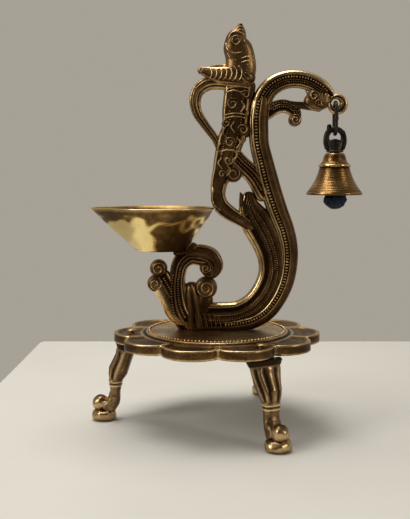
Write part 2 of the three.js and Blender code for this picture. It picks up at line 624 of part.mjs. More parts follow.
place(lamp, "base_plate", basePlate(), ANTIQUE_BRASS);
for (const [side, degrees] of Object.entries(LEG_ANGLES)) {
  const arm = new THREE.Group();
  arm.rotation.z = THREE.MathUtils.degToRad(degrees);
  place(arm, `leg_${side}`, leg(), LEG_BRASS);
  place(arm, `leg_rivet_${side}`, toSolid(legRivet()), SCREW_BRASS);
  lamp.add(arm);
}

place(lamp, "peacock_casting", peacockCasting(), ANTIQUE_BRASS);
["left", "right"].forEach((side, i) => {
  const x = baseScrewPlaces()[i];
  const baseWasher = washer(x, pocketTop - FIT - WASHER_THICKNESS, WASHER_RADIUS, SCREW_RADIUS + FIT);
  place(lamp, `base_screw_${side}`, toSolid(baseScrew(x)), SCREW_BRASS);
  place(lamp, `base_washer_${side}`, toSolid(baseWasher), SCREW_BRASS);
});

const bowlWasher = washer(bowlScrewX, bowlWasherBottom, BOWL_WASHER_RADIUS, BOWL_SCREW_RADIUS + FIT);
place(lamp, "oil_bowl", oilBowl(), POLISHED_BRASS);
place(lamp, "bowl_screw", toSolid(bowlScrew()), SCREW_BRASS);
place(lamp, "bowl_washer", toSolid(bowlWasher), SCREW_BRASS);

place(lamp, "chain_link", chainLink(), DARK_IRON);
place(lamp, "bell_eye", bellEye(), DARK_IRON);
place(lamp, "bell_dome", bellDome(), BELL_BRASS);
place(lamp, "bell_nut", bellNut(), DARK_IRON);
place(lamp, "clapper_wire", clapperWire(), DARK_IRON);
place(lamp, "clapper_ball", clapperBall(), CLAPPER_IRON);

// The origin is halfway between the lamp's two ends.
const leftEnd = Math.min(bowlX - BOWL_SPOUT, -legReach - FOOT_RADIUS);
const rightEnd = Math.max(holeX + BELL_LIP_RADIUS, PLATE_RADIUS);
lamp.position.x = -(leftEnd + rightEnd) / 2;

export default lamp;
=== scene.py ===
import math

import bpy
import numpy as np
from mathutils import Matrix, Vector, noise


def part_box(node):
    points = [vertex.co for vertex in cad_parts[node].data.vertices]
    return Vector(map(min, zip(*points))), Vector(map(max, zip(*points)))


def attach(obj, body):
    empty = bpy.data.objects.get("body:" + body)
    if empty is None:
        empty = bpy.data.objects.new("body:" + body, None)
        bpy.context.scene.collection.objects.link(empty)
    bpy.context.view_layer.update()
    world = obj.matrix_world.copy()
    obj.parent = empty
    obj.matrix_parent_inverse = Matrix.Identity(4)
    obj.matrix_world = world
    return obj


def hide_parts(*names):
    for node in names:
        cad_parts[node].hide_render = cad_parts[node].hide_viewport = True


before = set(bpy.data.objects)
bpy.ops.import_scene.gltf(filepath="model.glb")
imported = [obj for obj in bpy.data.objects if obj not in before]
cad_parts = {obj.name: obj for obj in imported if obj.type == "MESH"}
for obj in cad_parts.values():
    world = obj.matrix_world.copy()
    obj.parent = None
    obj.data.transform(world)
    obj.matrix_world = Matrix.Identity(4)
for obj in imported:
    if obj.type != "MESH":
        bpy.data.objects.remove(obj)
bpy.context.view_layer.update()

# Brass peacock lamp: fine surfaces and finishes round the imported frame.
# Shapes are drawn in millimetres, with x from the plate's axis, and a finished piece is in metres.

MM = 0.001
FIT = 0.3  # gap between pieces that touch
noise.seed_set(1)  # the feet's unevenness draws its offsets from this seed


def box_mm(node):
    low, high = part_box(node)
    return np.array(low) / MM, np.array(high) / MM


plate_low, plate_high = box_mm("base_plate")
bowl_low, bowl_high = box_mm("oil_bowl")
AXIS_X = (plate_low[0] + plate_high[0]) / 2
CASTING_FOOT = box_mm("peacock_casting")[0][2]
HANG_X = sum(box[0] for box in box_mm("bell_dome")) / 2 - AXIS_X


# ---------- places ----------


def smoothstep(low, high, value):
    t = np.clip((value - low) / (high - low), 0, 1)
    return t * t * (3 - 2 * t)


def turn_angles(count):
    """Even angles once round."""
    return np.arange(count) * 2 * math.pi / count


def circle(centre_x, radius, angle, z):
    """Points round an upright axis. Radius and z are one number, or one for each angle."""
    z = np.broadcast_to(z, angle.shape)
    return np.stack([centre_x + radius * np.cos(angle), radius * np.sin(angle), z], 1)


class Spine:
    """The centripetal Catmull-Rom curve through stations of [x, z, half width, half depth]."""

    def __init__(self, stations):
        self.stations = np.array(stations, float)
        p = self.stations[:, :2]
        self.p = np.vstack([2 * p[0] - p[1], p, 2 * p[-1] - p[-2]])
        self.last = len(p) - 1

    def at(self, t):
        """Places, headings, half widths and half depths at each t, which counts stations."""
        t = np.clip(np.asarray(t, float), 0, self.last)
        i = np.minimum(t.astype(int), self.last - 1)
        f = (t - i)[:, None]
        p0, p1, p2, p3 = (self.p[i + k] for k in range(4))
        pairs = ((p0, p1), (p1, p2), (p2, p3))
        d0, d1, d2 = (np.linalg.norm(b - a, axis=1)[:, None] ** 0.5 for a, b in pairs)
        m1 = d1 * ((p1 - p0) / d0 - (p2 - p0) / (d0 + d1) + (p2 - p1) / d1)
        m2 = d1 * ((p2 - p1) / d1 - (p3 - p1) / (d1 + d2) + (p3 - p2) / d2)
        c2, c3 = -3 * p1 + 3 * p2 - 2 * m1 - m2, 2 * p1 - 2 * p2 + m1 + m2
        place = p1 + f * (m1 + f * (c2 + f * c3))
        heading = m1 + f * (2 * c2 + f * 3 * c3)
        heading /= np.linalg.norm(heading, axis=1)[:, None]
        sizes = self.stations[i, 2:] * (1 - f) + self.stations[i + 1, 2:] * f
        return place, heading, sizes[:, 0], sizes[:, 1]

    def even(self, step):
        """Values of t about step apart along the curve, and how far along the curve each is."""
        fine = np.linspace(0, self.last, self.last * 40 + 1)
        place = self.at(fine)[0]
        run = np.concatenate([[0], np.cumsum(np.linalg.norm(np.diff(place, axis=0), axis=1))])
        along = np.linspace(0, run[-1], max(4, int(round(run[-1] / step))) + 1)
        return np.interp(along, run, fine), along


def smooth_profile(points, steps=4):
    """A finer profile: a smooth curve through the points, with steps spans between two of them."""
    line = Spine([[x, z, 0, 0] for x, z in points])
    t = np.linspace(0, len(points) - 1, (len(points) - 1) * steps + 1)
    return line.at(t)[0]


# ---------- meshes ----------


def signed_volume(points, faces):
    """Six times the volume inside closed faces: negative where they face inwards."""
    centred = points - points.mean(0)
    fans = np.array([[face[0], face[i], face[i + 1]] for face in faces for i in range(1, len(face) - 1)])
    a, b, c = (centred[fans[:, k]] for k in range(3))
    return (a * np.cross(b, c)).sum()


class Shells:
    """Closed shells in one mesh, with a value of wear and painted light at each point: 0 in a dark hollow, 1
    on a rubbed edge. In places it also holds painted shade, painted highlights and painted reflections.
    """

    def __init__(self):
        self.points, self.faces, self.wear, self.count = [], [], [], 0

    def add(self, points, faces, wear):
        points = np.asarray(points, float)
        if signed_volume(points, faces) < 0:
            faces = [face[::-1] for face in faces]
        self.points.append(points)
        self.wear.append(wear)
        self.faces += [[self.count + i for i in face] for face in faces]
        self.count += len(points)

    def all_points(self):
        return np.vstack(self.points)

    def piece(self, name, body, slot, material, node, points=None):
        points = self.all_points() if points is None else points
        mesh = bpy.data.meshes.new(name)
        mesh.from_pydata(((points + [AXIS_X, 0, 0]) * MM).tolist(), [], self.faces)
        mesh.polygons.foreach_set("use_smooth", [True] * len(mesh.polygons))
        wear = mesh.attributes.new("wear", "FLOAT", "POINT")
        wear.data.foreach_set("value", np.concatenate(self.wear).astype(np.float32))
        mesh.materials.append(material)
        mesh.update()
        thing = bpy.data.objects.new(name, mesh)
        bpy.context.scene.collection.objects.link(thing)
        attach(thing, body)
        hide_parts(node)


def side_faces(rings, sides, closed=False):
    """Faces between neighbouring rings of points. Where it is closed, the last ring joins the first."""
    faces = []
    for r in range(rings if closed else rings - 1):
        up = (r + 1) % rings
        for s in range(sides):
            n = (s + 1) % sides
            faces.append([r * sides + s, r * sides + n, up * sides + n, up * sides + s])
    return faces


def capped_faces(rings, sides):
    """Faces that skin rings of points and close them at two last points, the middles of the ends."""
    faces = side_faces(rings, sides)
    first, last = rings * sides, rings * sides + 1
    base = (rings - 1) * sides
    for s in range(sides):
        n = (s + 1) % sides
        faces.append([n, s, first])
        faces.append([base + s, base + n, last])
    return faces


def add_rings(shells, rings, wear):
    """Adds a shell closed at both ends over rings x sides x 3 points. Its wear and painted light spread over
    rings x sides.
    """
    rings = np.asarray(rings, float)
    points = np.vstack([rings.reshape(-1, 3), rings[0].mean(0), rings[-1].mean(0)])
    wear = np.broadcast_to(wear, rings.shape[:2])
    wear = np.concatenate([wear.ravel(), [wear[0].mean(), wear[-1].mean()]])
    shells.add(points, capped_faces(*rings.shape[:2]), wear)


def add_loop_of_rings(shells, rings, wear):
    """Adds a shell like a tyre, whose last ring joins its first."""
    rings = np.asarray(rings, float)
    faces = side_faces(*rings.shape[:2], closed=True)
    shells.add(rings.reshape(-1, 3), faces, np.broadcast_to(wear, rings.shape[:2]).ravel())


def add_turned(shells, profile, sides, centre=(0, 0), axis="z", wear=0.5):
    """Turns a profile of [radius, height] points about an upright axis, or about an axis along Y."""
    profile = np.asarray(profile, float)
    angles = turn_angles(sides)
    rings = np.zeros((len(profile), sides, 3))
    rings[..., 0] = centre[0] + profile[:, None, 0] * np.cos(angles)
    if axis == "z":
        rings[..., 1] = centre[1] + profile[:, None, 0] * np.sin(angles)
        rings[..., 2] = profile[:, None, 1]
    else:
        rings[..., 1] = profile[:, None, 1]
        rings[..., 2] = centre[1] - profile[:, None, 0] * np.sin(angles)
    add_rings(shells, rings, np.reshape(wear, (-1, 1)))


# ---------- bars ----------


ROUNDNESS = 2.6  # 2 would be an ellipse and a high number a box
EDGE_STEPS = [0.9, 0.96, 0.99]
END_ANGLES = np.radians([18, 36, 54, 70, 82])
END_REACH = 0.85  # how far a bar's rounded end goes past its last station, as a share of its half width


def swell(u):
    """Share of the half depth at u, which runs from -1 to 1 across a bar."""
    return np.clip(1 - np.abs(u) ** ROUNDNESS, 0, 1) ** (1 / ROUNDNESS)


def relief_at(relief, u):
    """Height and wear at u. Relief is a list of [u, height, wear]."""
    keys = np.array(relief, float)
    fade = np.clip((1 - np.abs(u)) / 0.12, 0, 1)
    rubbed = 0.6 + 0.4 * fade
    return np.interp(u, keys[:, 0], keys[:, 1]) * fade, np.interp(u, keys[:, 0], keys[:, 2]) * rubbed


RUBBED = [[-1, 0, 0.6], [-0.8, 0, 0.5], [0, 0, 0.5], [0.8, 0, 0.5], [1, 0, 0.6]]
PLAIN = [[-1, 0, 0.45], [-0.8, 0, 0.3], [0, 0, 0.25], [0.8, 0, 0.3], [1, 0, 0.45]]


def add_bar(shells, stations, relief=PLAIN, step=0.8, across=0.5, edges=EDGE_STEPS):
    """A rounded bar along the stations, with the same relief on its front and its back."""
    spine = Spine(stations)
    rows = [(0, -math.sin(a), math.cos(a)) for a in END_ANGLES[::-1]]
    rows += [(t, 0, 1) for t in spine.even(step)[0]]
    rows += [(spine.last, math.sin(a), math.cos(a)) for a in END_ANGLES]
    rows = np.array(rows)
    place, heading, width, depth = spine.at(rows[:, 0])
    place = place + heading * (rows[:, 1] * END_REACH * width)[:, None]
    normal = np.stack([-heading[:, 1], heading[:, 0]], 1)
    spans = max(6, int(round(2 * width.max() / across)))
    places = set(np.round(np.linspace(-0.88, 0.88, spans), 3))
    places |= {key[0] for key in relief if abs(key[0]) < 0.88}
    places |= set(edges) | {-edge for edge in edges}
    inner = np.array(sorted(places))
    u = np.concatenate([[1], inner[::-1], [-1], inner])
    side = np.concatenate([[0], -np.ones(len(inner)), [0], np.ones(len(inner))])
    height, wear = relief_at(relief, u)
    shrink = rows[:, 2][:, None]
    points = np.zeros((len(rows), len(u), 3))
    points[..., 0] = place[:, None, 0] + normal[:, None, 0] * width[:, None] * u * shrink
    points[..., 2] = place[:, None, 1] + normal[:, None, 1] * width[:, None] * u * shrink
    points[..., 1] = side * (depth[:, None] * swell(u) * (1 + shrink) / 2 * shrink ** 0.4 + height * shrink)
    add_rings(shells, points, wear)


PIN = [(1, 0), (0.7, 0.72)]  # a bead's section up to its tip: share of its radius, share of its rise
BEAD_RISE = 0.45
PIN_SIDES = 6
SPIRAL_END = 0.25  # the spiral's innermost radius, as a share of its outermost


def add_pin(shells, x, z, half, heading, along, across, rise=BEAD_RISE):
    """A bead or a bar-shaped tick that stands out of both faces of the casting at [x, z]."""
    angles = turn_angles(PIN_SIDES)
    a, b = along * np.cos(angles), across * np.sin(angles)
    levels = [(share, half - 0.25 + lift * (rise + 0.25)) for share, lift in PIN]
    rings = []
    for share, y in [(s, -y) for s, y in levels[::-1]] + levels:
        ring = np.zeros((PIN_SIDES, 3))
        ring[:, 0] = x + share * (a * heading[0] - b * heading[1])
        ring[:, 1] = y
        ring[:, 2] = z + share * (a * heading[1] + b * heading[0])
        rings.append(ring)
    points = np.vstack([*rings, [[x, -half - rise, z]], [[x, half + rise, z]]])
    wear = np.concatenate([np.repeat([0.6, 0.2, 0.2, 0.6], PIN_SIDES), [0.8, 0.8]])
    shells.add(points, capped_faces(4, PIN_SIDES), wear)


def add_row(shells, stations, relief, u, pitch, along, across, start=0.0, end=1.0):
    """Beads or ticks at u across a bar, from start to end of its length."""
    spine = Spine(stations)
    t, run = spine.even(pitch)
    chosen = (run >= start * run[-1]) & (run <= end * run[-1])
    place, heading, width, depth = spine.at(t[chosen])
    height = relief_at(relief, np.array([u]))[0][0]
    for p, h, w, d in zip(place, heading, width, depth):
        add_pin(shells, p[0] - h[1] * w * u, p[1] + h[0] * w * u, d * swell(u) + height, h, along, across)


def add_stroke(shells, places, width=0.45, rise=0.3, wear=0.9, half_depth=None):
    """A raised line on both faces, tapering to its ends, on the casting or at the half depth given."""
    last = len(places) - 1
    stations = []
    for i, (x, z) in enumerate(places):
        share = 0.45 + 0.55 * math.sin(math.pi * (i + 0.15) / (last + 0.3))
        face = face_depth(x, z) if half_depth is None else half_depth
        stations.append([x, z, width * share, face + rise * share])
    relief = [[-1, 0, 0.15], [0, 0, wear], [1, 0, 0.15]]
    add_bar(shells, stations, relief, step=0.9, across=0.6, edges=(0.97,))


def face_depth(x, z):
    """How far the casting's faces stand from its middle plane at [x, z]."""
    deepest = 0.5
    for place, heading, width, depth in BAR_SAMPLES:
        offset = [x, z] - place
        nearest = np.argmin((offset ** 2).sum(1))
        along = offset[nearest] @ heading[nearest]
        u = (offset[nearest] @ [-heading[nearest][1], heading[nearest][0]]) / width[nearest]
        if abs(u) < 1 and abs(along) < width[nearest]:
            deepest = max(deepest, depth[nearest] * float(swell(u)))
    return deepest


def spiral(centre, radius, start_degrees, turns):
    """Places on a spiral that winds inwards from the radius. Its turns are anticlockwise from the front."""
    count = int(abs(turns) * 12) + 1
    angles = np.radians(start_degrees) + np.linspace(0, turns * 2 * math.pi, count)
    radii = radius * np.linspace(1, SPIRAL_END, count)
    return [[centre[0] + r * math.cos(a), centre[1] + r * math.sin(a)] for r, a in zip(radii, angles)]


def add_knob(shells, centre, radius, half_depth, start_degrees, turns):
    """A rounded boss with a raised spiral on both faces."""
    shares = [(0, 1), (0.35, 0.99), (0.62, 0.95), (0.8, 0.87), (0.92, 0.72), (0.98, 0.5), (1, 0.25)]
    front = [[radius * r, -half_depth * d] for r, d in shares]
    back = [[radius * r, half_depth * d] for r, d in shares[::-1]]
    wear = [0.4, 0.4, 0.3, 0.35, 0.6, 0.4, 0.05]
    add_turned(shells, front[1:] + back[:-1], 32, centre, "y", wear[1:] + wear[::-1][:-1])
    line = spiral(centre, radius * 0.8, start_degrees, turns)
    add_stroke(shells, line, 0.6, 0.7, 0.9, half_depth * 0.93)


# ---------- the peacock casting: z from its foot ----------

# A bar's stations are [x, z, half width, half depth], and its relief is [place across, height, wear].

TAIL = [
    [21.5, 113, 4.6, 4.2], [20.5, 106, 4.9, 4.2], [20.5, 99, 4.9, 4.2], [21, 92, 4.8, 4.2],
    [23, 84, 4.9, 4.2], [25, 76, 5.2, 4.2], [27.5, 67.5, 5.2, 4.2], [30.5, 59, 5, 4.2], [34, 50, 4.7, 4.2],
    [36, 41, 4.5, 4.2], [36, 32, 4.3, 4.2], [34.2, 23, 4.2, 4.2], [30.5, 15, 4.1, 4.2], [25.5, 8.5, 4, 4.2],
    [18.5, 4, 3.8, 4.2], [10, 2, 3.6, 4.2], [0, 1.5, 3.4, 4.2],
]
TAIL_RELIEF = [
    [-1, 0, 0.5], [-0.9, 0.25, 0.85], [-0.8, 0.25, 0.9], [-0.74, -0.2, 0.05], [-0.68, 0.2, 0.85],
    [-0.58, 0.2, 0.8], [-0.5, -0.4, 0], [-0.02, -0.4, 0], [0.06, 0.15, 0.7], [0.14, 0.1, 0.45],
    [0.6, 0.15, 0.3], [0.85, 0.1, 0.35], [1, 0, 0.55],
]
INNER_FEATHER = [
    [15.7, 66.5, 3.2, 3.2], [16.2, 62, 5.4, 3.4], [18, 57, 7.6, 3.6], [21, 52, 8.3, 3.7], [25, 44, 7.6, 3.7],
    [27.5, 36, 7, 3.7], [27.8, 28, 7, 3.7], [25.2, 20, 7, 3.7], [19.3, 12.5, 6.6, 3.8], [11, 8, 6.2, 4],
    [2, 7, 6.5, 4.2], [-6, 7, 6.5, 4.4],
]
FEATHER_RELIEF = [
    [-1, 0, 0.9], [-0.9, 0.25, 1], [-0.82, 0.2, 0.95], [-0.77, -0.15, 0.2], [-0.72, 0.15, 0.85],
    [-0.64, 0.1, 0.7], [-0.56, -0.5, 0.05], [-0.4, -0.65, 0], [-0.28, -0.5, 0.1], [-0.18, -0.1, 0.35],
    [0.1, -0.15, 0.15], [0.22, 0.05, 0.4], [0.34, -0.2, 0.1], [0.5, 0, 0.3], [1, 0, 0.2],
]
FEATHER_TIP = [[14.8, 59, 3.8, 3.3], [12.9, 64.6, 2, 2.9], [11.7, 68.4, 0.5, 1.6]]
ARCH = [
    [20.8, 106, 5, 3.8], [21.8, 113, 4.9, 3.8], [25.5, 119.5, 4.7, 3.7], [31.5, 123.3, 4.5, 3.6],
    [38.5, 124.4, 4.3, 3.5], [45.5, 123, 4.4, 3.3], [51, 120, 4.4, 2.9], [54.4, 117.2, 3.6, 2.3],
]
ARCH_RELIEF = [
    [-1, 0, 0.6], [-0.88, 0.2, 0.8], [-0.78, -0.15, 0.1], [-0.68, 0.15, 0.75], [-0.58, 0.1, 0.5],
    [-0.5, -0.35, 0], [-0.2, -0.4, 0], [-0.12, 0.1, 0.6], [-0.04, -0.35, 0], [0.4, -0.35, 0],
    [0.5, 0.25, 0.7], [0.7, 0.4, 0.95], [0.86, 0.3, 0.95], [1, 0, 0.8],
]
ARM_HEAD = [[46, 113, 4, 3.4], [49.5, 113.6, 5.4, 3.7], [52.4, 114, 4.2, 3]]
ARM_CURL = [
    [24, 107, 3, 2.8], [29, 110.5, 3.4, 2.8], [34, 111, 3.3, 2.8], [38.2, 108.3, 3.1, 3],
    [38.6, 103.8, 2.8, 3],
]
CURL_RELIEF = [
    [-1, 0, 0.75], [-0.8, 0.2, 0.9], [-0.6, -0.1, 0.3], [-0.4, -0.25, 0.05], [0.1, -0.25, 0.05],
    [0.2, 0.1, 0.6], [0.32, -0.25, 0.05], [0.75, -0.25, 0.1], [0.88, 0.15, 0.8], [1, 0, 0.7],
]
CURL_BRIDGE = [[33, 112, 2, 2.6], [39, 111.8, 1.6, 2.8], [45, 111.2, 2, 3]]
TRUNK = [
    [11, 125, 7, 4.6], [10, 116, 6.8, 4.6], [9.2, 108, 6.8, 4.6], [8.8, 101, 6.2, 4.6], [6.8, 94.5, 6.6, 4.6],
    [4.8, 87, 6, 4.4], [3.2, 80, 5.4, 4.2], [1, 73, 4.1, 4], [0.6, 67, 3.6, 4], [2.2, 62, 4, 4],
    [6.6, 58.2, 3.7, 3.8], [11.8, 55, 3.3, 3.7], [17, 51, 2.4, 3.6],
]
TRUNK_RELIEF = [
    [-1, 0, 0.7], [-0.84, 0.3, 0.85], [-0.7, -0.2, 0.1], [-0.3, -0.1, 0.3], [0, 0.1, 0.4], [0.3, -0.1, 0.3],
    [0.6, -0.2, 0.1], [0.78, 0.2, 0.8], [1, 0, 0.6],
]
TRUNK_WEB = [[15.5, 121, 3.5, 2.4], [14.5, 112, 3.2, 2.4], [14.3, 104, 3, 2.4], [14.5, 98, 2.6, 2.4]]
TRUNK_BRANCH = [[6, 89, 4.6, 3.9], [12, 82.8, 4.3, 3.8], [18.5, 76.5, 4.5, 3.8], [23.5, 68.5, 5, 3.8]]
BRANCH_RELIEF = [
    [-1, 0, 0.7], [-0.85, 0.25, 0.95], [-0.68, -0.2, 0.1], [-0.5, 0.2, 0.9], [-0.34, -0.3, 0.05],
    [0.1, -0.35, 0], [0.25, 0.1, 0.6], [0.4, -0.3, 0.05], [0.75, -0.25, 0.1], [0.88, 0.2, 0.8], [1, 0, 0.6],
]
BIRD_STRAP = [
    [7, 121, 2.8, 3], [1, 122.4, 3.2, 2.8], [-5, 121.9, 3.4, 2.6], [-9.6, 118.3, 3.1, 2.5],
    [-10.9, 113, 2.8, 2.4], [-9.8, 108, 2.5, 2.3], [-6.9, 103.3, 2.2, 2.2], [-3.7, 99, 2, 2.1],
    [-1, 95.4, 1.9, 2.1], [1.5, 91, 2.2, 2.4],
]
STRAP_RELIEF = [
    [-1, 0, 0.7], [-0.8, 0.1, 0.8], [-0.64, -0.3, 0.05], [-0.45, 0.2, 0.85], [-0.25, -0.25, 0.1],
    [0, 0.05, 0.4], [0.25, 0.2, 0.9], [0.45, -0.25, 0.1], [0.7, 0.2, 0.9], [1, 0, 0.6],
]
WING = [
    [15, 125, 4.5, 5.2], [9, 125.6, 5, 5.8], [2, 126, 4.4, 5], [-3.4, 127.2, 3, 3.8],
    [-7.6, 128.4, 1.9, 2.8],
]
WING_RELIEF = [
    [-1, 0, 0.7], [-0.75, 0.15, 0.8], [-0.55, -0.2, 0.2], [-0.2, 0, 0.4], [0.3, 0, 0.4], [0.6, -0.2, 0.15],
    [0.82, 0.2, 0.85], [1, 0, 0.6],
]
BIRD = [
    [11, 123, 7.2, 5], [11.6, 130, 7.6, 5.6], [11.2, 135, 7.2, 5.2], [9.9, 140, 7, 5.4], [9.8, 144, 5.4, 4.4],
    [11, 147.5, 3.1, 2.6], [11.3, 149.8, 1.5, 1.8],
]
SCROLL = [
    [-14.5, 2, 5.5, 4.6], [-18.8, 10, 5.4, 4.6], [-20.2, 19, 4.8, 4.4], [-19.8, 27, 4, 4.2],
    [-18, 33.5, 4.4, 4.2], [-13, 37.6, 5.2, 4.2], [-7.5, 36.8, 5, 4.2],
]
SCROLL_RELIEF = [
    [-1, 0, 0.8], [-0.86, 0.25, 0.9], [-0.72, -0.2, 0.1], [-0.58, 0.15, 0.8], [-0.42, -0.3, 0.05],
    [0.05, -0.35, 0], [0.18, 0.1, 0.6], [0.3, -0.3, 0.05], [0.75, -0.3, 0.05], [0.88, 0.15, 0.6],
    [1, 0, 0.5],
]
LEAF = [
    [-14, 3, 4, 4.2], [-21.5, 7.5, 3.6, 4], [-25, 14, 3.4, 3.8], [-28, 20, 3.6, 3.8], [-30.3, 23, 3.8, 3.8],
]
LEAF_RELIEF = [
    [-1, 0, 0.3], [-0.5, -0.2, 0.15], [-0.1, 0.1, 0.5], [0.4, 0.3, 0.9], [0.8, 0.2, 1], [1, 0, 0.9],
]
LEAF_BUD = [[-19, 12, 3, 3.8], [-23.5, 20.5, 3.4, 3.8], [-27, 27, 3.6, 3.8]]
BUD_RELIEF = [
    [-1, 0, 0.4], [-0.7, 0.15, 0.7], [-0.4, -0.3, 0.05], [0.4, -0.3, 0.05], [0.7, 0.15, 0.7], [1, 0, 0.4],
]
ROOT = [[-11, 2, 8, 4.8], [-11.5, 10, 7.5, 4.4], [-12.5, 17, 6, 4.2], [-12.8, 20, 4.6, 4]]
ROOT_RELIEF = [
    [-1, 0, 0.3], [-0.7, 0.2, 0.5], [-0.5, -0.25, 0.05], [-0.25, 0.2, 0.5], [0, -0.25, 0.05],
    [0.25, 0.2, 0.5], [0.5, -0.25, 0.05], [0.7, 0.2, 0.5], [1, 0, 0.3],
]
ROOT_NECK = [[-8, 9, 5, 4.2], [-6, 15, 4.2, 4.2]]
BOWL_SEAT = [[-20.8, 38.6, 1.4, 4.2], [-18.5, 38.6, 1.6, 4.2], [-12, 40.5, 3.4, 4.2]]
FOOT_PAD = [[-13, 0.8, 1.6, 4.6], [8, 0.8, 1.6, 4.6]]
CRESCENT = [
    [-14, 38, 3.2, 4.3], [-8.8, 38.4, 4.4, 4.5], [-3.2, 36.4, 4.7, 4.7], [-0.6, 31.6, 3.8, 4.8],
    [-3, 27.6, 2.4, 4.7], [-6.2, 28.6, 1.4, 4.4],
]
CRESCENT_RELIEF = [
    [-1, 0, 0.7], [-0.82, 0.2, 0.8], [-0.68, -0.25, 0.05], [-0.5, 0.15, 0.6], [-0.34, -0.2, 0.1],
    [0, 0.2, 0.3], [0.5, 0.25, 0.35], [0.66, -0.2, 0.08], [0.82, 0.15, 0.7], [1, 0, 0.5],
]

BARS = [
    (TAIL, TAIL_RELIEF), (INNER_FEATHER, FEATHER_RELIEF), (FEATHER_TIP, PLAIN), (ARCH, ARCH_RELIEF),
    (ARM_HEAD, RUBBED), (ARM_CURL, CURL_RELIEF), (CURL_BRIDGE, PLAIN), (TRUNK, TRUNK_RELIEF),
    (TRUNK_WEB, PLAIN), (TRUNK_BRANCH, BRANCH_RELIEF), (BIRD_STRAP, STRAP_RELIEF), (WING, WING_RELIEF),
    (BIRD, RUBBED), (SCROLL, SCROLL_RELIEF), (LEAF, LEAF_RELIEF), (LEAF_BUD, BUD_RELIEF),
    (ROOT, ROOT_RELIEF), (ROOT_NECK, PLAIN), (BOWL_SEAT, PLAIN), (FOOT_PAD, PLAIN),
    (CRESCENT, CRESCENT_RELIEF),
]
BAR_SAMPLES = [
    Spine(stations).at(np.linspace(0, len(stations) - 1, 30 * len(stations))) for stations, _ in BARS
]
# stations, relief, place across, pitch, half length along and across, start and end (shares of the length)
ROWS = [
    (TAIL, TAIL_RELIEF, -0.26, 1.5, 0.52, 1.05, 0.0, 0.97),
    (INNER_FEATHER, FEATHER_RELIEF, -0.05, 1.05, 0.38, 0.38, 0.06, 0.95),
    (INNER_FEATHER, FEATHER_RELIEF, 0.33, 1.05, 0.38, 0.38, 0.1, 0.98),
    (INNER_FEATHER, FEATHER_RELIEF, 0.14, 0.95, 0.3, 0.3, 0.1, 0.45),
    (ARCH, ARCH_RELIEF, 0.2, 1.35, 0.5, 0.75, 0.1, 0.98),
    (ARCH, ARCH_RELIEF, -0.35, 1.2, 0.4, 0.4, 0.2, 0.95),
    (ARM_CURL, CURL_RELIEF, 0.54, 1.1, 0.4, 0.45, 0.1, 0.95),
    (ARM_CURL, CURL_RELIEF, -0.12, 1.1, 0.38, 0.42, 0.2, 0.9),
    (TRUNK, TRUNK_RELIEF, -0.45, 1.3, 0.45, 0.45, 0.04, 0.5),
    (TRUNK, TRUNK_RELIEF, 0.4, 1.3, 0.45, 0.45, 0.04, 0.5),
    (TRUNK_BRANCH, BRANCH_RELIEF, -0.12, 1.1, 0.36, 0.5, 0.1, 0.95),
    (TRUNK_BRANCH, BRANCH_RELIEF, 0.58, 1.1, 0.4, 0.42, 0.1, 0.95),
    (BIRD_STRAP, STRAP_RELIEF, -0.64, 1.1, 0.35, 0.3, 0.35, 0.98),
    (SCROLL, SCROLL_RELIEF, -0.18, 1.2, 0.35, 0.75, 0.1, 0.85),
    (SCROLL, SCROLL_RELIEF, 0.53, 1.25, 0.45, 0.5, 0.05, 0.6),
    (LEAF_BUD, BUD_RELIEF, 0.0, 1.2, 0.45, 0.65, 0.05, 0.95),
]
# centre, radius, half depth, where the spiral starts, its turns
KNOBS = [
    ([-5.6, 31], 3.2, 4.8, 60, -1.5), ([-5.4, 21], 5.6, 4.8, 150, 1.7), ([-29.3, 30.8], 4.4, 4.4, -40, 1.5),
    ([-30.8, 23.2], 4.2, 4.4, 60, -1.4), ([8, 78], 4.4, 4.6, 90, -1.4), ([38.4, 104.4], 3.2, 3.6, 90, -1.5),
    ([47.4, 116], 3.2, 3.9, 0, 1.3), ([49.8, 112.4], 2.4, 4.1, 200, -1.2), ([7.4, 112], 3.5, 5.4, 60, 1.4),
    ([12.6, 99.5], 3.4, 5.2, 180, -1.3), ([6.2, 93.4], 3.2, 5.1, 20, 1.3), ([13.8, 116.5], 2.8, 5, 180, -1.3),
    ([4.6, 102.6], 2.4, 4.8, 120, 1.2), ([5.4, 84.5], 3.1, 4.9, 60, -1.3), ([2.4, 77.8], 2.4, 4.5, 0, 1.2),
]
ARM_EYE, ARM_EYE_HOLE = [59.4, 112], [58.4, 112.6]
EYE_RADIUS, HOLE_RADIUS, EYE_HALF_DEPTH = 5, 2, 2.1
# from the hole to the outside: share of the way, share of the half depth, wear
EYE_SECTION = [
    (0, 0.25, 0.9), (0.06, 0.75, 0.7), (0.2, 1, 0.8), (0.42, 0.86, 0.3), (0.55, 0.7, 0.05), (0.68, 0.95, 0.8),
    (0.86, 0.9, 0.9), (1, 0.35, 0.6),
]
SEAT_LEVEL = 50  # the bowl stands on what is below this, and what is above stands beside it


def add_arm_eye(shells):
    """The round eye at the end of the arm: a ring whose hole is a little off its middle."""
    angle = turn_angles(40)
    turn = np.stack([np.cos(angle), -np.sin(angle)], 1)
    inner = np.array(ARM_EYE_HOLE) + turn * HOLE_RADIUS
    outer = np.array(ARM_EYE) + turn * EYE_RADIUS
    rings, wear = [], []
    for side, section in ((-1, EYE_SECTION), (1, EYE_SECTION[::-1])):
        for share, depth, level in section:
            edge = inner * (1 - share) + outer * share
            y = np.full(len(angle), side * depth * EYE_HALF_DEPTH)
            rings.append(np.stack([edge[:, 0], y, edge[:, 1]], 1))
            wear.append([level])
    add_loop_of_rings(shells, rings, wear)


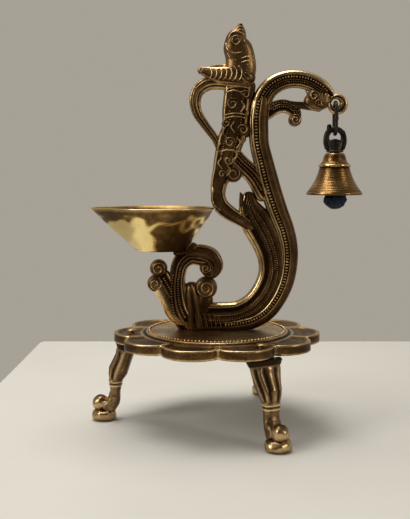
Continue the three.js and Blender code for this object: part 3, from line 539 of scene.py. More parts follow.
def add_bird_detail(shells):
    """Head, beak, collar, feathers and crest, drawn as raised lines on both faces of the bird."""
    add_knob(shells, [9.2, 142], 3.2, 6.1, 90, 1.2)
    add_stroke(shells, [[5.2, 143.4], [6.8, 145.8], [9.8, 146.8], [13, 145.4]], 1, 0.9, 1)
    add_stroke(shells, [[4.2, 141], [4.8, 138.4], [7.6, 136.4], [11.6, 136.6]], 1.1, 1, 1)
    add_stroke(shells, [[4.8, 136.4], [6.4, 134], [9.2, 132.8]], 0.9, 0.9, 0.9)
    add_stroke(shells, [[12.8, 142.6], [14.6, 139.6], [15, 136.4]], 0.7, 0.7)
    for z in (132.6, 134.6):
        add_stroke(shells, [[11.6, z - 0.9], [14.4, z], [17.6, z + 0.3]], 0.8, 0.8, 1)
    for i, z in enumerate((147.8, 149.4, 150.8)):
        add_stroke(shells, [[9.9 + 0.4 * i, z - 0.4], [11.2, z], [12.6 - 0.3 * i, z - 0.2]], 0.55, 0.5)
    for i in range(7):
        x = -3.6 + 2.3 * i
        bow = 0.9 + 0.1 * i
        top, low = 129.4 + 0.12 * i, 124 - 0.2 * i
        feather = [[x, top], [x + bow, top - 1.8], [x + 0.8 * bow, low + 1.6], [x - 0.5, low]]
        add_stroke(shells, feather, 0.7, 0.85, 1)
    middle = np.array([9, 129.6])
    for i in range(6):
        angle = math.radians(-58 + 14 * i)
        ray = np.array([math.cos(angle), math.sin(angle)])
        add_stroke(shells, [middle + ray * 5.2, middle + ray * 8.6], 0.6, 0.5)
    add_stroke(shells, [[-6.4, 126.4], [-2, 123.6], [4, 121.2], [9.4, 120.6], [14.4, 122.4]], 0.8, 0.6, 1)
    add_stroke(shells, [[-8, 128.8], [-3, 130.2], [3, 130.8], [8.6, 131.4]], 0.8, 0.5, 1)
    add_pin(shells, -8.2, 128.4, 2.6, (1, 0), 1.5, 1.6, 0.6)


# height, left end and right end of each ledge
TRUNK_LEDGES = [(119.4, 5, 16), (117.6, 4.4, 11.4), (106.6, 3.4, 15), (105, 3.2, 14.6), (88.8, 0.4, 11)]
# x, z and the side that each leaf curl leans to
TRUNK_LEAVES = [
    (12.4, 110.6, 1), (14.2, 107.6, 1), (7.6, 100.6, -1), (3.6, 98.2, -1), (10.4, 93, 1), (12.6, 95.2, 1),
    (1.2, 90.4, -1), (8.8, 87, 1), (1.4, 83, -1), (5.6, 79.4, 1),
]


def add_trunk_detail(shells):
    """Ledges and leaf curls between the knobs of the trunk."""
    for z, left, right in TRUNK_LEDGES:
        add_stroke(shells, [[left, z], [(left + right) / 2, z + 0.9], [right, z]], 1.05, 1, 0.8)
    for x, z, lean in TRUNK_LEAVES:
        leaf = [[x - lean, z - 2.6], [x + 0.9 * lean, z], [x - 0.6 * lean, z + 2.6]]
        add_stroke(shells, leaf, 1.15, 1.1, 0.8)
    add_stroke(shells, [[-2.6, 75], [-2.2, 69], [-2, 63.8], [1.4, 60]], 0.8, 0.5)
    add_stroke(shells, [[3.6, 73], [2.9, 68], [4, 64.4], [8, 60.6], [12, 57.4]], 0.8, 0.5)


def add_arm_detail(shells):
    """The head at the end of the arm: comb strokes, jaw and the pad before the eye."""
    for i in range(5):
        x = 43.6 + 1.7 * i
        add_stroke(shells, [[x, 118.9 - 0.3 * i], [x + 0.9, 117.2], [x + 0.5, 115.2]], 0.38, 0.35)
    add_stroke(shells, [[43.2, 111.4], [46.4, 109.8], [50, 109.2], [53.4, 110.4]], 0.5, 0.4, 1)
    add_stroke(shells, [[50.6, 113.6], [53, 113.2], [54.8, 114.4]], 0.5, 0.4)
    add_pin(shells, 51.2, 111.6, 3.5, (1, 0), 1.1, 0.9, 0.5)
    add_pin(shells, 54, 116.2, 2.5, (0.7, -0.7), 1.9, 1.2, 0.5)


def add_base_detail(shells):
    """Fluting over the foot, and fine barbs at the top of the inner feather."""
    for i in range(6):
        x = -9.5 + 2.3 * i
        add_stroke(shells, [[x, 1], [x - 0.4, 4], [x - 1.4, 8]], 0.5, 0.4, 0.6)
    for i in range(6):
        x = 15 + 0.8 * i
        add_stroke(shells, [[x - 0.6, 62.5 - 0.6 * i], [x, 66.2 - 1.6 * i]], 0.35, 0.3)


def clear_of_bowl(points):
    """Moves points out of the space that the bowl takes: down under its floor, or sideways from its rim."""
    centre = np.array([BOWL_X, 0])
    reach = np.linalg.norm(points[:, :2] - centre, axis=1)
    slope = (BOWL_RADIUS - BOWL_FLOOR_RADIUS) / (bowl_high[2] - bowl_low[2])
    floor = bowl_low[2] - FIT + np.clip(reach - BOWL_FLOOR_RADIUS - FIT, 0, None) / slope
    inside = (points[:, 2] > floor) & (points[:, 2] < bowl_high[2] + FIT) & (reach < BOWL_RADIUS + FIT)
    low = points[:, 2] < CASTING_FOOT + SEAT_LEVEL
    points[inside & low, 2] = floor[inside & low]
    beside = inside & ~low
    wall = BOWL_FLOOR_RADIUS + FIT + (points[beside, 2] - bowl_low[2] + FIT) * slope
    out = (points[beside, :2] - centre) / reach[beside, None]
    points[beside, :2] = centre + out * np.minimum(wall, BOWL_RADIUS + 2 * FIT)[:, None]
    return points


def casting(material):
    """The whole casting: its bars, then the beads, knobs and strokes that stand on them."""
    shells = Shells()
    for stations, relief in BARS:
        add_bar(shells, stations, relief)
    for row in ROWS:
        add_row(shells, *row)
    for knob in KNOBS:
        add_knob(shells, *knob)
    add_arm_eye(shells)
    add_bird_detail(shells)
    add_trunk_detail(shells)
    add_arm_detail(shells)
    add_base_detail(shells)
    points = shells.all_points()
    points[:, 2] = np.maximum(points[:, 2], 0) + CASTING_FOOT
    points = clear_of_bowl(points)
    shells.piece("casting_chased", "stand", "antique_brass", material, "peacock_casting", points)


# ---------- base plate ----------

PETALS = 10
PLATE_RADIUS = (plate_high[0] - plate_low[0]) / 2
PETAL_DEPTH = 7
RIM_WIDTH = 16.5
BOSS_RADIUS = PLATE_RADIUS - RIM_WIDTH
BOSS_RISE = 1.1
POCKET_RADIUS = BOSS_RADIUS - 0.5
POCKET_DEPTH = 2.2
PLATE_SIDES = 30 * PETALS
DISH_DEPTH = 0.75
BEAD_RADIUS, BEAD_PITCH, BEAD_INSET = 0.75, 1.9, 1.4
# out from the boss's radius, down from its top, wear
BOSS_EDGE = [
    (-2.3, 0, 0.75), (-1.7, 0.35, 0.2), (-1.2, 0.35, 0.15), (-0.7, 0.1, 0.85), (0, 0.15, 0.9),
    (0.5, 0.7, 0.3), (0.9, 1.35, 0.05), (1.4, 1.35, 0.05),
]
# in from the petals' outline, down from their top, wear
PETAL_EDGE = [
    (0.1, 0.2, 0.9), (0, 0.6, 0.6), (0.12, 1.1, 0.3), (0.12, 2.6, 0.35), (0.05, 3.7, 0.4), (0, 4.3, 0.75),
    (0.15, 4.75, 0.7), (0.8, 5, 0.25),
]
# radius and height of the hollow underside
POCKET = [
    (POCKET_RADIUS + 2, 0), (POCKET_RADIUS + 0.3, 0), (POCKET_RADIUS, 0.3),
    (POCKET_RADIUS, POCKET_DEPTH - 0.4), (POCKET_RADIUS - 0.5, POCKET_DEPTH), (20, POCKET_DEPTH),
    (6, POCKET_DEPTH),
]


def petal_radius(angle):
    bulge = np.abs(np.cos(PETALS * angle / 2)) ** 0.8
    return PLATE_RADIUS - PETAL_DEPTH * (1 - bulge)


def plate(material):
    """Ten dished petals with raised rims round a polished boss, over a pocket that hides the screws."""
    angle = turn_angles(PLATE_SIDES)
    edge = petal_radius(angle)
    top = plate_high[2] - BOSS_RISE
    half_petal = math.pi / PETALS
    to_notch = half_petal - np.abs((angle + half_petal) % (2 * half_petal) - half_petal)
    notch = np.exp(-(to_notch * PLATE_RADIUS / 1.4) ** 2)
    rings, wear = [], []

    def ring(radius, z, level):
        rings.append(circle(0, radius, angle, z))
        wear.append(np.broadcast_to(level, angle.shape))

    for radius in (4, 14, 24, 32):
        ring(radius, top + BOSS_RISE, 0.72)
    for outwards, drop, level in BOSS_EDGE:
        ring(BOSS_RADIUS + outwards, top + BOSS_RISE - drop, level)
    for share in np.linspace(0, 1, 17):
        radius = (BOSS_RADIUS + 1.9) * (1 - share) + (edge - 0.5) * share
        near = np.minimum(to_notch * radius, np.minimum(edge - radius, radius - BOSS_RADIUS - 1.4))
        dish = smoothstep(1.5, 3.4, near)
        rim = np.exp(-((near - 1.0) / 0.55) ** 2)
        rise = 0.2 * rim - 0.1 + 0.35 * np.exp(-((near - 5.2) / 0.6) ** 2)
        # painted highlight: the notch term lightens the petals' top rim at each notch between petals
        level = 0.45 * rim + 0.5 - 0.12 * dish + 0.3 * rise + 0.3 * notch
        ring(radius, top - DISH_DEPTH * dish + rise, np.clip(level, 0, 1))
    for inset, drop, level in PETAL_EDGE:
        # painted highlight: the petals' edge is lightened at each notch, which is also set in a little
        ring(edge - inset - 0.3 * notch, top - drop, np.clip(level + 0.35 * notch, 0, 1))
    for radius, z in POCKET:
        ring(radius, plate_low[2] + z, 0.15)
    shells = Shells()
    add_rings(shells, rings, np.array(wear))
    reach = BOSS_RADIUS - BEAD_INSET
    for a in turn_angles(int(2 * math.pi * BOSS_RADIUS / BEAD_PITCH)):
        add_stud(shells, reach * math.cos(a), reach * math.sin(a), top + BOSS_RISE - 0.4, BEAD_RADIUS, 1)
    shells.piece("plate_chased", "stand", "antique_brass", material, "base_plate")


def add_stud(shells, x, y, z, radius, rise):
    """A small bead standing on a level face."""
    profile = [
        [radius, z - 0.2], [radius * 0.92, z + 0.35 * rise], [radius * 0.6, z + 0.8 * rise],
        [radius * 0.2, z + rise],
    ]
    add_turned(shells, profile, 8, (x, y), wear=[0.2, 0.5, 0.9, 1])


# ---------- legs ----------

LEG_ANGLES = {"left": 180, "front_right": 298, "back_right": 62}
LEG_REACH = PLATE_RADIUS + 5.5
LEG_HEIGHT = plate_low[2] - FIT
LEG_SIDES = 56
LEG_ROUNDNESS = 2.4
FLUTES = 9
FOOT_HEIGHT = 6.5
FOOT_UNEVEN = 0.5
TOE_REACH = 1.8  # how far the toe's ball stands out from the middle of the pad
PAD = [[0.01, 0], [4.6, 0], [6.0, 1.1], [6.2, 2.6], [6, 3.9], [5.2, 5.1], [3.4, 5.8], [0.01, 5.9]]
TOE = [[0.01, 4.4], [2.4, 5], [3.8, 6.6], [4.2, 8.6], [3.7, 10.6], [2.2, 12.2], [0.01, 12.8]]


def leg_level(share):
    return FOOT_HEIGHT + share * (LEG_HEIGHT - FOOT_HEIGHT)


LEG = [
    [LEG_REACH - 12.5, leg_level(1), 5.4, 8.4], [LEG_REACH - 10.5, leg_level(0.777), 4.6, 7.4],
    [LEG_REACH - 7.6, leg_level(0.564), 5.2, 5.9], [LEG_REACH - 6.2, leg_level(0.43), 3.8, 4.6],
    [LEG_REACH - 5.8, leg_level(0.252), 3, 4.3], [LEG_REACH - 4.5, leg_level(0.089), 3.8, 4.5],
    [LEG_REACH - 1.5, FOOT_HEIGHT - 1, 4, 4.5],
]


def leg_relief(around, run, length):
    """Height and wear over a leg: two steps at the top, a fluted knee, a double cuff and a plain ankle. Its
    top, under the plate, is darkened as painted shade.
    """
    share = run / length
    steps = 0.55 * smoothstep(0.5, 0.9, run) - 0.35 * smoothstep(1.7, 2.1, run)
    steps = steps - 0.55 * smoothstep(3.1, 3.5, run)
    knee = smoothstep(0.1, 0.14, share) * (1 - smoothstep(0.5, 0.56, share))
    outward = smoothstep(-0.35, 0.1, np.cos(around))
    flutes = np.abs(np.sin(around * FLUTES / 2 * (1 - 0.15 * share) + math.pi / 2)) ** 0.7
    cuff = np.exp(-((share - 0.575) / 0.014) ** 2) + np.exp(-((share - 0.625) / 0.014) ** 2)
    height = steps + knee * outward * (1.2 * flutes - 0.8) + 0.4 * cuff
    grooves = np.exp(-((share - 0.6) / 0.012) ** 2) + np.exp(-((run - 2.5) / 0.5) ** 2)
    # painted shade: the first 3.2 mm of the leg, under the plate, is darkened; the grooves are darker too
    dark = 1 - smoothstep(3.2, 3.8, run) + grooves
    wear = 0.4 + knee * outward * (0.95 * flutes - 0.75) + 0.55 * cuff - 0.4 * dark
    return height, np.clip(wear, 0, 1)


def add_ball(shells, profile, sides, x):
    """A rounded part of a foot, with painted shade where it meets what is above and below."""
    profile = np.maximum(smooth_profile(profile), [0.01, 0])
    # painted shade: darker at the ball's bottom and top, where it meets the parts below and above
    wear = 0.05 + 0.6 * np.sin(np.linspace(0, math.pi, len(profile))) ** 1.2
    add_turned(shells, profile, sides, (x, 0), wear=wear)


def leg_shells():
    """One leg, standing out along +X."""
    t, run = Spine(LEG).even(0.55)
    place, heading, width, depth = Spine(LEG).at(t)
    angle = turn_angles(LEG_SIDES)
    height, wear = leg_relief(np.arctan2(np.sin(angle), np.cos(angle))[None], run[:, None], run[-1])
    across, along = (np.sign(k) * np.abs(k) ** (2 / LEG_ROUNDNESS) for k in (np.cos(angle), np.sin(angle)))
    outwards = across * (width[:, None] + height)
    rings = np.zeros((len(t), LEG_SIDES, 3))
    rings[..., 0] = place[:, None, 0] - heading[:, None, 1] * outwards
    rings[..., 1] = along * (depth[:, None] + height)
    rings[..., 2] = np.minimum(place[:, None, 1] + heading[:, None, 0] * outwards, LEG_HEIGHT)
    shells = Shells()
    add_rings(shells, rings, wear)
    add_ball(shells, PAD, 40, LEG_REACH)
    add_ball(shells, TOE, 36, LEG_REACH + TOE_REACH)
    return shells


def legs(material):
    """Three legs of one shape, with uneven cast feet, turned about the plate's axis."""
    shells = leg_shells()
    points = shells.all_points()
    for i in np.flatnonzero((points[:, 2] > 1) & (points[:, 2] < 2 * FOOT_HEIGHT)):
        points[i] += FOOT_UNEVEN * np.array(noise.noise_vector(Vector(points[i]) * 0.3))
    for side, degrees in LEG_ANGLES.items():
        c, s = math.cos(math.radians(degrees)), math.sin(math.radians(degrees))
        turned = points @ np.array([[c, s, 0], [-s, c, 0], [0, 0, 1]])
        shells.piece(f"leg_{side}_chased", "stand", "leg_brass", material, f"leg_{side}", turned)


# ---------- bowl ----------

BOWL_RADIUS, BOWL_FLOOR_RADIUS, BOWL_SPOUT, BOWL_WALL = 27, 12.6, 35.2, 1.4
BOWL_X = bowl_high[0] - BOWL_RADIUS - AXIS_X
BOWL_SIDES = 144
# the angle round the bowl of the painted dark reflection of the casting
DARK_REFLECTION_ANGLE = math.radians(-62)
# share of the way up the flank, down from the rim, offset outwards, wear
BOWL_LIP = [
    (0.98, 0.55, 0.12, 0.5), (1, 0.15, 0.02, 0.8), (1, 0, -0.35, 0.8), (1, 0, -0.95, 0.6),
    (1, 0.25, -1.3, 0.2),
]


def bowl_painted_reflections(angle, share, dents):
    """How far the flank is darkened by painted dark reflections: a band under the rim, and a patch low down
    at the front right where the casting is reflected.
    """
    band = smoothstep(0.66, 0.78, share + 0.25 * dents) * (1 - smoothstep(0.93, 0.96, share))
    round_front = np.abs(np.angle(np.exp(1j * (angle - DARK_REFLECTION_ANGLE)))) + 0.3 * dents
    patch = (1 - smoothstep(0.55, 0.75, round_front)) * (1 - smoothstep(0.5, 0.66, share + 0.35 * dents))
    return 0.8 * band + 0.8 * np.clip(patch, 0, 1)


def bowl(material):
    """A hand-beaten bowl with a flat floor and one drawn-out spout."""
    low, rim = bowl_low[2], bowl_high[2]
    height, depth = rim - low, rim - low - BOWL_WALL
    angle = turn_angles(BOWL_SIDES)
    draw = (BOWL_SPOUT - BOWL_RADIUS) * np.maximum(0, -np.cos(angle)) ** 12
    rings = [circle(BOWL_X, BOWL_FLOOR_RADIUS * share, angle, low) for share in (0.25, 0.7, 0.93)]
    wear = [0 * angle + level for level in (0.6, 0.6, 0.5)]
    around = 3.2 * np.stack([np.cos(angle), np.sin(angle)], 1)
    # share of the way up the flank, height, offset outwards, wear
    flank = [[share, low + height * share, 0.5 * math.sin(math.pi * share ** 1.3), 0.92]
             for share in np.linspace(0, 0.94, 28)]
    flank += [[share, rim - down, offset, level] for share, down, offset, level in BOWL_LIP]
    flank += [[share, low + BOWL_WALL + depth * share, -BOWL_WALL, 0.12]
              for share in np.linspace(0.95, 0, 14)]
    for share, z, offset, level in flank:
        radius = BOWL_FLOOR_RADIUS + (BOWL_RADIUS - BOWL_FLOOR_RADIUS) * share + offset + draw * share
        dents = np.array([noise.noise(Vector((x, y, 6 * share))) for x, y in around])
        radius = radius + (0.16 * dents - 0.1) * (0 < share < 0.97)
        rings.append(circle(BOWL_X, radius, angle, z))
        # the outside of the flank is darkened by the painted reflections
        wear.append(np.clip(level - bowl_painted_reflections(angle, share, dents) * (offset > -0.3), 0, 1))
    for share in (0.8, 0.35):
        rings.append(circle(BOWL_X, (BOWL_FLOOR_RADIUS - BOWL_WALL) * share, angle, low + BOWL_WALL))
        wear.append(0 * angle + 0.5)
    shells = Shells()
    add_rings(shells, rings, np.array(wear))
    shells.piece("bowl_beaten", "stand", "polished_brass", material, "oil_bowl")


# ---------- link, bell and clapper ----------


def add_wire_loop(shells, places, wire, x, sides=12):
    """A closed wire through places, which are [y, z] points of one loop at x."""
    middle = np.array(places, float)
    heading = np.roll(middle, -1, 0) - np.roll(middle, 1, 0)
    heading /= np.linalg.norm(heading, axis=1)[:, None]
    angle = turn_angles(sides)
    rings = np.zeros((len(middle), sides, 3))
    rings[..., 0] = x + wire * np.sin(angle)
    rings[..., 1] = middle[:, None, 0] + heading[:, None, 1] * wire * np.cos(angle)
    rings[..., 2] = middle[:, None, 1] - heading[:, None, 0] * wire * np.cos(angle)
    add_loop_of_rings(shells, rings, 0.45)


def long_loop(half_width, top, bottom, steps=14):
    """Places on an upright loop with straight sides and round ends."""
    places = []
    for centre, start in ((top - half_width, 0), (bottom + half_width, math.pi)):
        for a in start + np.linspace(0, math.pi, steps):
            places.append([half_width * math.cos(a), centre + half_width * math.sin(a)])
    return places


# the swelling where the link was closed
WELD = [[0.3, -1.3], [1.05, -0.9], [1.12, 0], [1.05, 0.9], [0.3, 1.3]]


def link(material):
    low, high = box_mm("chain_link")
    wire = (high[0] - low[0]) / 2
    half_width = (high[1] - low[1]) / 2 - wire
    shells = Shells()
    add_wire_loop(shells, long_loop(half_width, high[2] - wire, low[2] + wire, 18), wire, HANG_X)
    weld = smooth_profile(WELD) + [0, (low[2] + high[2]) / 2]
    add_turned(shells, weld, 12, (HANG_X, -half_width))
    shells.piece("link_forged", "link", "dark_iron", material, "chain_link")


BELL_EYE_WIRE, BELL_EYE_RADIUS = 1.35, 5.5
SHANK_RADIUS, SHANK_HOLE_RADIUS = 2, 1.4
# places on the horns that hold the eye: out from the middle, up from the eye's centre, half width, half depth
HORN = [(3.6, -5, 1.5, 1.9), (4.3, -2.4, 1.5, 1.7), (4.25, 0.8, 1.3, 1.4), (3.7, 2.6, 1.2, 1.2)]
COLLAR = [[2, 0], [4.1, 0], [4.3, 0.4], [4.1, 0.9], [3, 1.1]]
NECK_RELIEF = [[-1, 0, 0.5], [-0.3, 0.1, 0.6], [0, -0.15, 0.2], [0.3, 0.1, 0.6], [1, 0, 0.5]]


def bell_eye(material):
    """A thick ring on a flattened neck, with the cut end of its wire left open on one side."""
    low, high = box_mm("bell_eye")
    centre = high[2] - BELL_EYE_RADIUS
    ring = BELL_EYE_RADIUS - BELL_EYE_WIRE
    neck_bottom = box_mm("bell_dome")[1][2] + FIT
    shells = Shells()
    turn, angle = turn_angles(48), turn_angles(14)
    radius = ring + BELL_EYE_WIRE * np.cos(angle)
    rings = np.zeros((len(turn), len(angle), 3))
    rings[..., 0] = HANG_X + radius * np.cos(turn)[:, None]
    rings[..., 1] = BELL_EYE_WIRE * np.sin(angle)
    rings[..., 2] = centre + radius * np.sin(turn)[:, None]
    add_loop_of_rings(shells, rings, 0.45)
    neck = [
        [HANG_X, centre - ring - 0.4, 4.6, 1.9], [HANG_X, neck_bottom + 2.2, 3.8, 2.1],
        [HANG_X, neck_bottom + 1.4, 3.7, 2.2],
    ]
    add_bar(shells, neck, NECK_RELIEF, 0.5)
    for side in (-1, 1):
        horn = [[HANG_X + side * out, centre + up, width, depth] for out, up, width, depth in HORN]
        add_bar(shells, horn, PLAIN, 0.5)
    cut_end = [[HANG_X - 3.2, centre + 3, 1.1, 1.2], [HANG_X - 2.9, centre + 5.6, 1.15, 1.2]]
    add_bar(shells, cut_end, PLAIN, 0.4)
    add_turned(shells, np.array(COLLAR) + [0, neck_bottom], 32, (HANG_X, 0), wear=[0.2, 0.4, 0.6, 0.6, 0.3])
    add_shank(shells, low[2], neck_bottom + 1)
    points = shells.all_points()
    outside_shank = np.hypot(points[:, 0] - HANG_X, points[:, 1]) > SHANK_RADIUS + 0.05
    points[(points[:, 2] < neck_bottom) & outside_shank, 2] = neck_bottom
    shells.piece("bell_eye_forged", "bell", "dark_iron", material, "bell_eye", points)


def add_shank(shells, bottom, top):
    """The shank as a post down to its cross hole, and the small ring of metal round that hole."""
    hole = bottom + 1 + SHANK_HOLE_RADIUS
    add_turned(shells, [[SHANK_RADIUS, hole + SHANK_HOLE_RADIUS], [SHANK_RADIUS, top]], 20, (HANG_X, 0))
    turn = turn_angles(28)
    rings = np.zeros((len(turn), 4, 3))
    # reach along X, reach along Z, y
    hole_edge = (SHANK_HOLE_RADIUS, SHANK_HOLE_RADIUS)
    section = [(*hole_edge, -1.6), (2.07, 2.3, -1.3), (2.07, 2.3, 1.3), (*hole_edge, 1.6)]
    for i, (reach_x, reach_z, y) in enumerate(section):
        rings[:, i, 0] = HANG_X + reach_x * np.cos(turn)
        rings[:, i, 1] = y
        rings[:, i, 2] = hole + reach_z * np.sin(turn)
    add_loop_of_rings(shells, rings, 0.4)


BELL_LIP_RADIUS, BELL_HEIGHT = 13.9, 20.8
# share of the lip's radius, share of the height down from the crown, wear
BELL_OUTSIDE = [
    [0.17, 0, 0.2], [0.27, 0, 0.4], [0.31, 0.005, 0.7], [0.34, 0.02, 0.7], [0.365, 0.06, 0.35],
    [0.39, 0.1, 0.25], [0.425, 0.18, 0.5], [0.45, 0.22, 0.6], [0.49, 0.25, 0.3], [0.53, 0.268, 0.5],
    [0.565, 0.28, 0.95], [0.578, 0.3, 1], [0.575, 0.32, 0.8], [0.545, 0.335, 0.15], [0.535, 0.35, 0.1],
]
BELL_BODY = [
    [0.545, 0.37, 0.4], [0.57, 0.43, 0.55], [0.605, 0.5, 0.6], [0.65, 0.58, 0.62], [0.695, 0.65, 0.65],
    [0.755, 0.72, 0.72], [0.825, 0.8, 0.7], [0.9, 0.87, 0.6], [0.965, 0.925, 0.5],
]
BELL_LIP = [[0.985, 0.94, 0.75], [1, 0.962, 0.6], [1, 0.985, 0.4], [0.98, 1, 0.3]]
BELL_INSIDE = [
    [0.92, 1, 0.3], [0.89, 0.985, 0.2], [0.81, 0.89, 0.15], [0.69, 0.78, 0.1], [0.6, 0.67, 0.1],
    [0.53, 0.55, 0.1], [0.47, 0.42, 0.05], [0.42, 0.3, 0.05], [0.36, 0.2, 0.05], [0.3, 0.105, 0.05],
    [0.17, 0.1, 0.05],
]
TURNING_MARKS = 15  # fine grooves left by the lathe down the bell's flank


def bell_flank():
    """The flank as close rings with shallow turning marks, each with a dark bottom."""
    keys = np.array(BELL_BODY)
    down = np.linspace(keys[0, 1], keys[-1, 1], 4 * TURNING_MARKS + 1)
    mark = np.maximum(0, np.cos(np.arange(len(down)) * math.pi / 2))
    radius = np.interp(down, keys[:, 1], keys[:, 0]) - 0.008 * mark
    return np.stack([radius, down, np.interp(down, keys[:, 1], keys[:, 2]) - 0.4 * mark], 1)


def bell(material):
    """The turned dome, open below and bored through its crown for the shank."""
    crown = box_mm("bell_dome")[1][2]
    profile = np.vstack([BELL_OUTSIDE, bell_flank(), BELL_LIP, BELL_INSIDE])
    angle = turn_angles(88)
    rings = [circle(HANG_X, share * BELL_LIP_RADIUS, angle, crown - down * BELL_HEIGHT)
             for share, down, _ in profile]
    shells = Shells()
    add_loop_of_rings(shells, rings, profile[:, 2:])
    shells.piece("bell_turned", "bell", "bell_brass", material, "bell_dome")


LUMP_RADIUS = 6
LUMP_SIDE = [[0.02, 0], [0.42, 0.04], [0.84, 0.2], [0.99, 0.45], [0.86, 0.7], [0.5, 0.92], [0.16, 1]]


def clapper_wire(material):
    """A wire loop through the shank's hole, and the stem below it."""
    low, high = box_mm("clapper_wire")
    wire = (high[0] - low[0]) / 2
    half_width = (high[1] - low[1]) / 2 - wire
    loop_bottom = box_mm("bell_eye")[0][2] - FIT - wire - 0.8 * half_width
    shells = Shells()
    add_wire_loop(shells, long_loop(half_width, high[2] - wire, loop_bottom), wire, HANG_X, 10)
    add_turned(shells, [[wire, low[2]], [wire, loop_bottom]], 12, (HANG_X, 0))
    shells.piece("clapper_wire_bent", "clapper", "dark_iron", material, "clapper_wire")


def clapper_ball(material):
    """The rough lobed lump that strikes the bell."""
    low, high = box_mm("clapper_ball")
    profile = np.clip(smooth_profile(LUMP_SIDE, 3), [0.02, 0], [2, 1])
    angle = turn_angles(40)
    radius = LUMP_RADIUS * (1 - 0.2 * np.sin(1.5 * angle + 0.4) ** 2)
    height = high[2] - low[2]
    rings = np.array([circle(HANG_X, radius * share, angle, low[2] + height * up) for share, up in profile])
    for point in rings.reshape(-1, 3):
        dent = 1 + 0.2 * noise.noise(Vector(point) * 0.42)
        point[0] = HANG_X + (point[0] - HANG_X) * dent
        point[1] *= dent
    shells = Shells()
    add_rings(shells, rings, np.linspace(0.6, 0.2, len(rings))[:, None])
    shells.piece("clapper_lump", "clapper", "clapper_iron", material, "clapper_ball")


# ---------- fasteners ----------

RIVET_INSET, RIVET_RADIUS, RIVET_HEAD_RADIUS = 14.5, 1.5, 2.6
SCREW_RADIUS, SCREW_HEAD_RADIUS, SCREW_HEAD_HEIGHT = 1.2, 2, 1.8


def add_domed_pin(shells, x, y, heights, radius, head_radius):
    """A round shank with a domed head. The heights are its low end, its head's underside and its top."""
    low, head, top = heights
    add_turned(shells, [[radius, low], [radius, head + 0.2]], 20, (x, y))
    dome = np.array([[0.95, 0], [1, 0.25], [0.86, 0.62], [0.5, 0.92], [0.12, 1]]) * [head_radius, top - head]
    add_turned(shells, smooth_profile(dome + [0, head], 2), 28, (x, y))


def rivets(material):
    """Each rivet's shank and its hammered head on the plate."""
    head = plate_high[2] - BOSS_RISE + FIT
    reach = LEG_REACH - RIVET_INSET
    for side, degrees in LEG_ANGLES.items():
        low, high = box_mm(f"leg_rivet_{side}")
        x, y = reach * math.cos(math.radians(degrees)), reach * math.sin(math.radians(degrees))
        shells = Shells()
        add_domed_pin(shells, x, y, (low[2], head, high[2]), RIVET_RADIUS, RIVET_HEAD_RADIUS)
        shells.piece(f"rivet_{side}_hammered", "stand", "fastener_brass", material, f"leg_rivet_{side}")


def bowl_screw(material):
    low, high = box_mm("bowl_screw")
    x = (low[0] + high[0]) / 2 - AXIS_X
    heights = (low[2], high[2] - SCREW_HEAD_HEIGHT, high[2])
    shells = Shells()
    add_domed_pin(shells, x, 0, heights, SCREW_RADIUS, SCREW_HEAD_RADIUS)
    shells.piece("bowl_screw_domed", "stand", "fastener_brass", material, "bowl_screw")


# ---------- finishes ----------


class NodeTree:
    """The nodes of a material or a world, and short ways to add to them."""

    def __init__(self, owner):
        owner.use_nodes = True
        self.nodes, self.links = owner.node_tree.nodes, owner.node_tree.links

    def add(self, kind):
        return self.nodes.new(f"ShaderNode{kind}")

    def noise(self, coordinates, scale, detail):
        node = self.add("TexNoise")
        node.inputs["Scale"].default_value = scale
        node.inputs["Detail"].default_value = detail
        node.inputs["Roughness"].default_value = 0.55
        self.links.new(coordinates, node.inputs["Vector"])
        return node.outputs["Fac"]

    def math(self, operation, first, second):
        node = self.add("Math")
        node.operation = operation
        for socket, value in zip(node.inputs, (first, second)):
            if isinstance(value, (int, float)):
                socket.default_value = value
            else:
                self.links.new(value, socket)
        return node.outputs[0]

    def ramp(self, factor, stops, socket):
        """Colours a socket by stops of (place, colour), where a colour is three numbers or one."""
        node = self.add("ValToRGB")
        ramp = node.color_ramp
        while len(ramp.elements) < len(stops):
            ramp.elements.new(0.5)
        for element, (place, colour) in zip(ramp.elements, stops):
            element.position = place
            element.color = (*(colour if isinstance(colour, tuple) else (colour,) * 3), 1)
        self.links.new(factor, node.inputs["Fac"])
        self.links.new(node.outputs["Color"], socket)


def metal(name, colours, roughness, mottle=0.35, has_wear=True, grain=0.12, scale=1.0):
    """Metal from its first colour in hollows to its last on rubbed edges, with patina and fine pits. The same
    ramp also paints the painted shade, painted highlights and painted reflections that the attribute holds in
    places.
    """
    material = bpy.data.materials.new(name)
    tree = NodeTree(material)
    shader = tree.nodes["Principled BSDF"]
    place = tree.add("TexCoord").outputs["Object"]
    cloud = tree.noise(place, 90 * scale, 5)
    speck = tree.noise(place, 700 * scale, 3)
    level = tree.math("MULTIPLY", tree.math("SUBTRACT", cloud, 0.5), mottle * 2)
    level = tree.math("ADD", level, tree.math("MULTIPLY", tree.math("SUBTRACT", speck, 0.5), mottle))
    wear = 0.55
    if has_wear:
        # the attribute holds wear and patina, and in places painted shade, painted highlights and painted
        # reflections
        attribute = tree.add("Attribute")
        attribute.attribute_name = "wear"
        wear = attribute.outputs["Fac"]
    level = tree.math("ADD", level, wear)
    places = np.linspace(0.08, 0.92, len(colours))
    tree.ramp(level, list(zip(places, colours)), shader.inputs["Base Color"])
    tree.ramp(level, [(0.1, roughness[0]), (0.9, roughness[1])], shader.inputs["Roughness"])
    shader.inputs["Metallic"].default_value = 1
    bump = tree.add("Bump")
    bump.inputs["Strength"].default_value = grain
    bump.inputs["Distance"].default_value = 0.0003
    pits = tree.math("ADD", speck, tree.noise(place, 2200 * scale, 2))
    tree.links.new(pits, bump.inputs["Height"])
    tree.links.new(bump.outputs["Normal"], shader.inputs["Normal"])
    return material


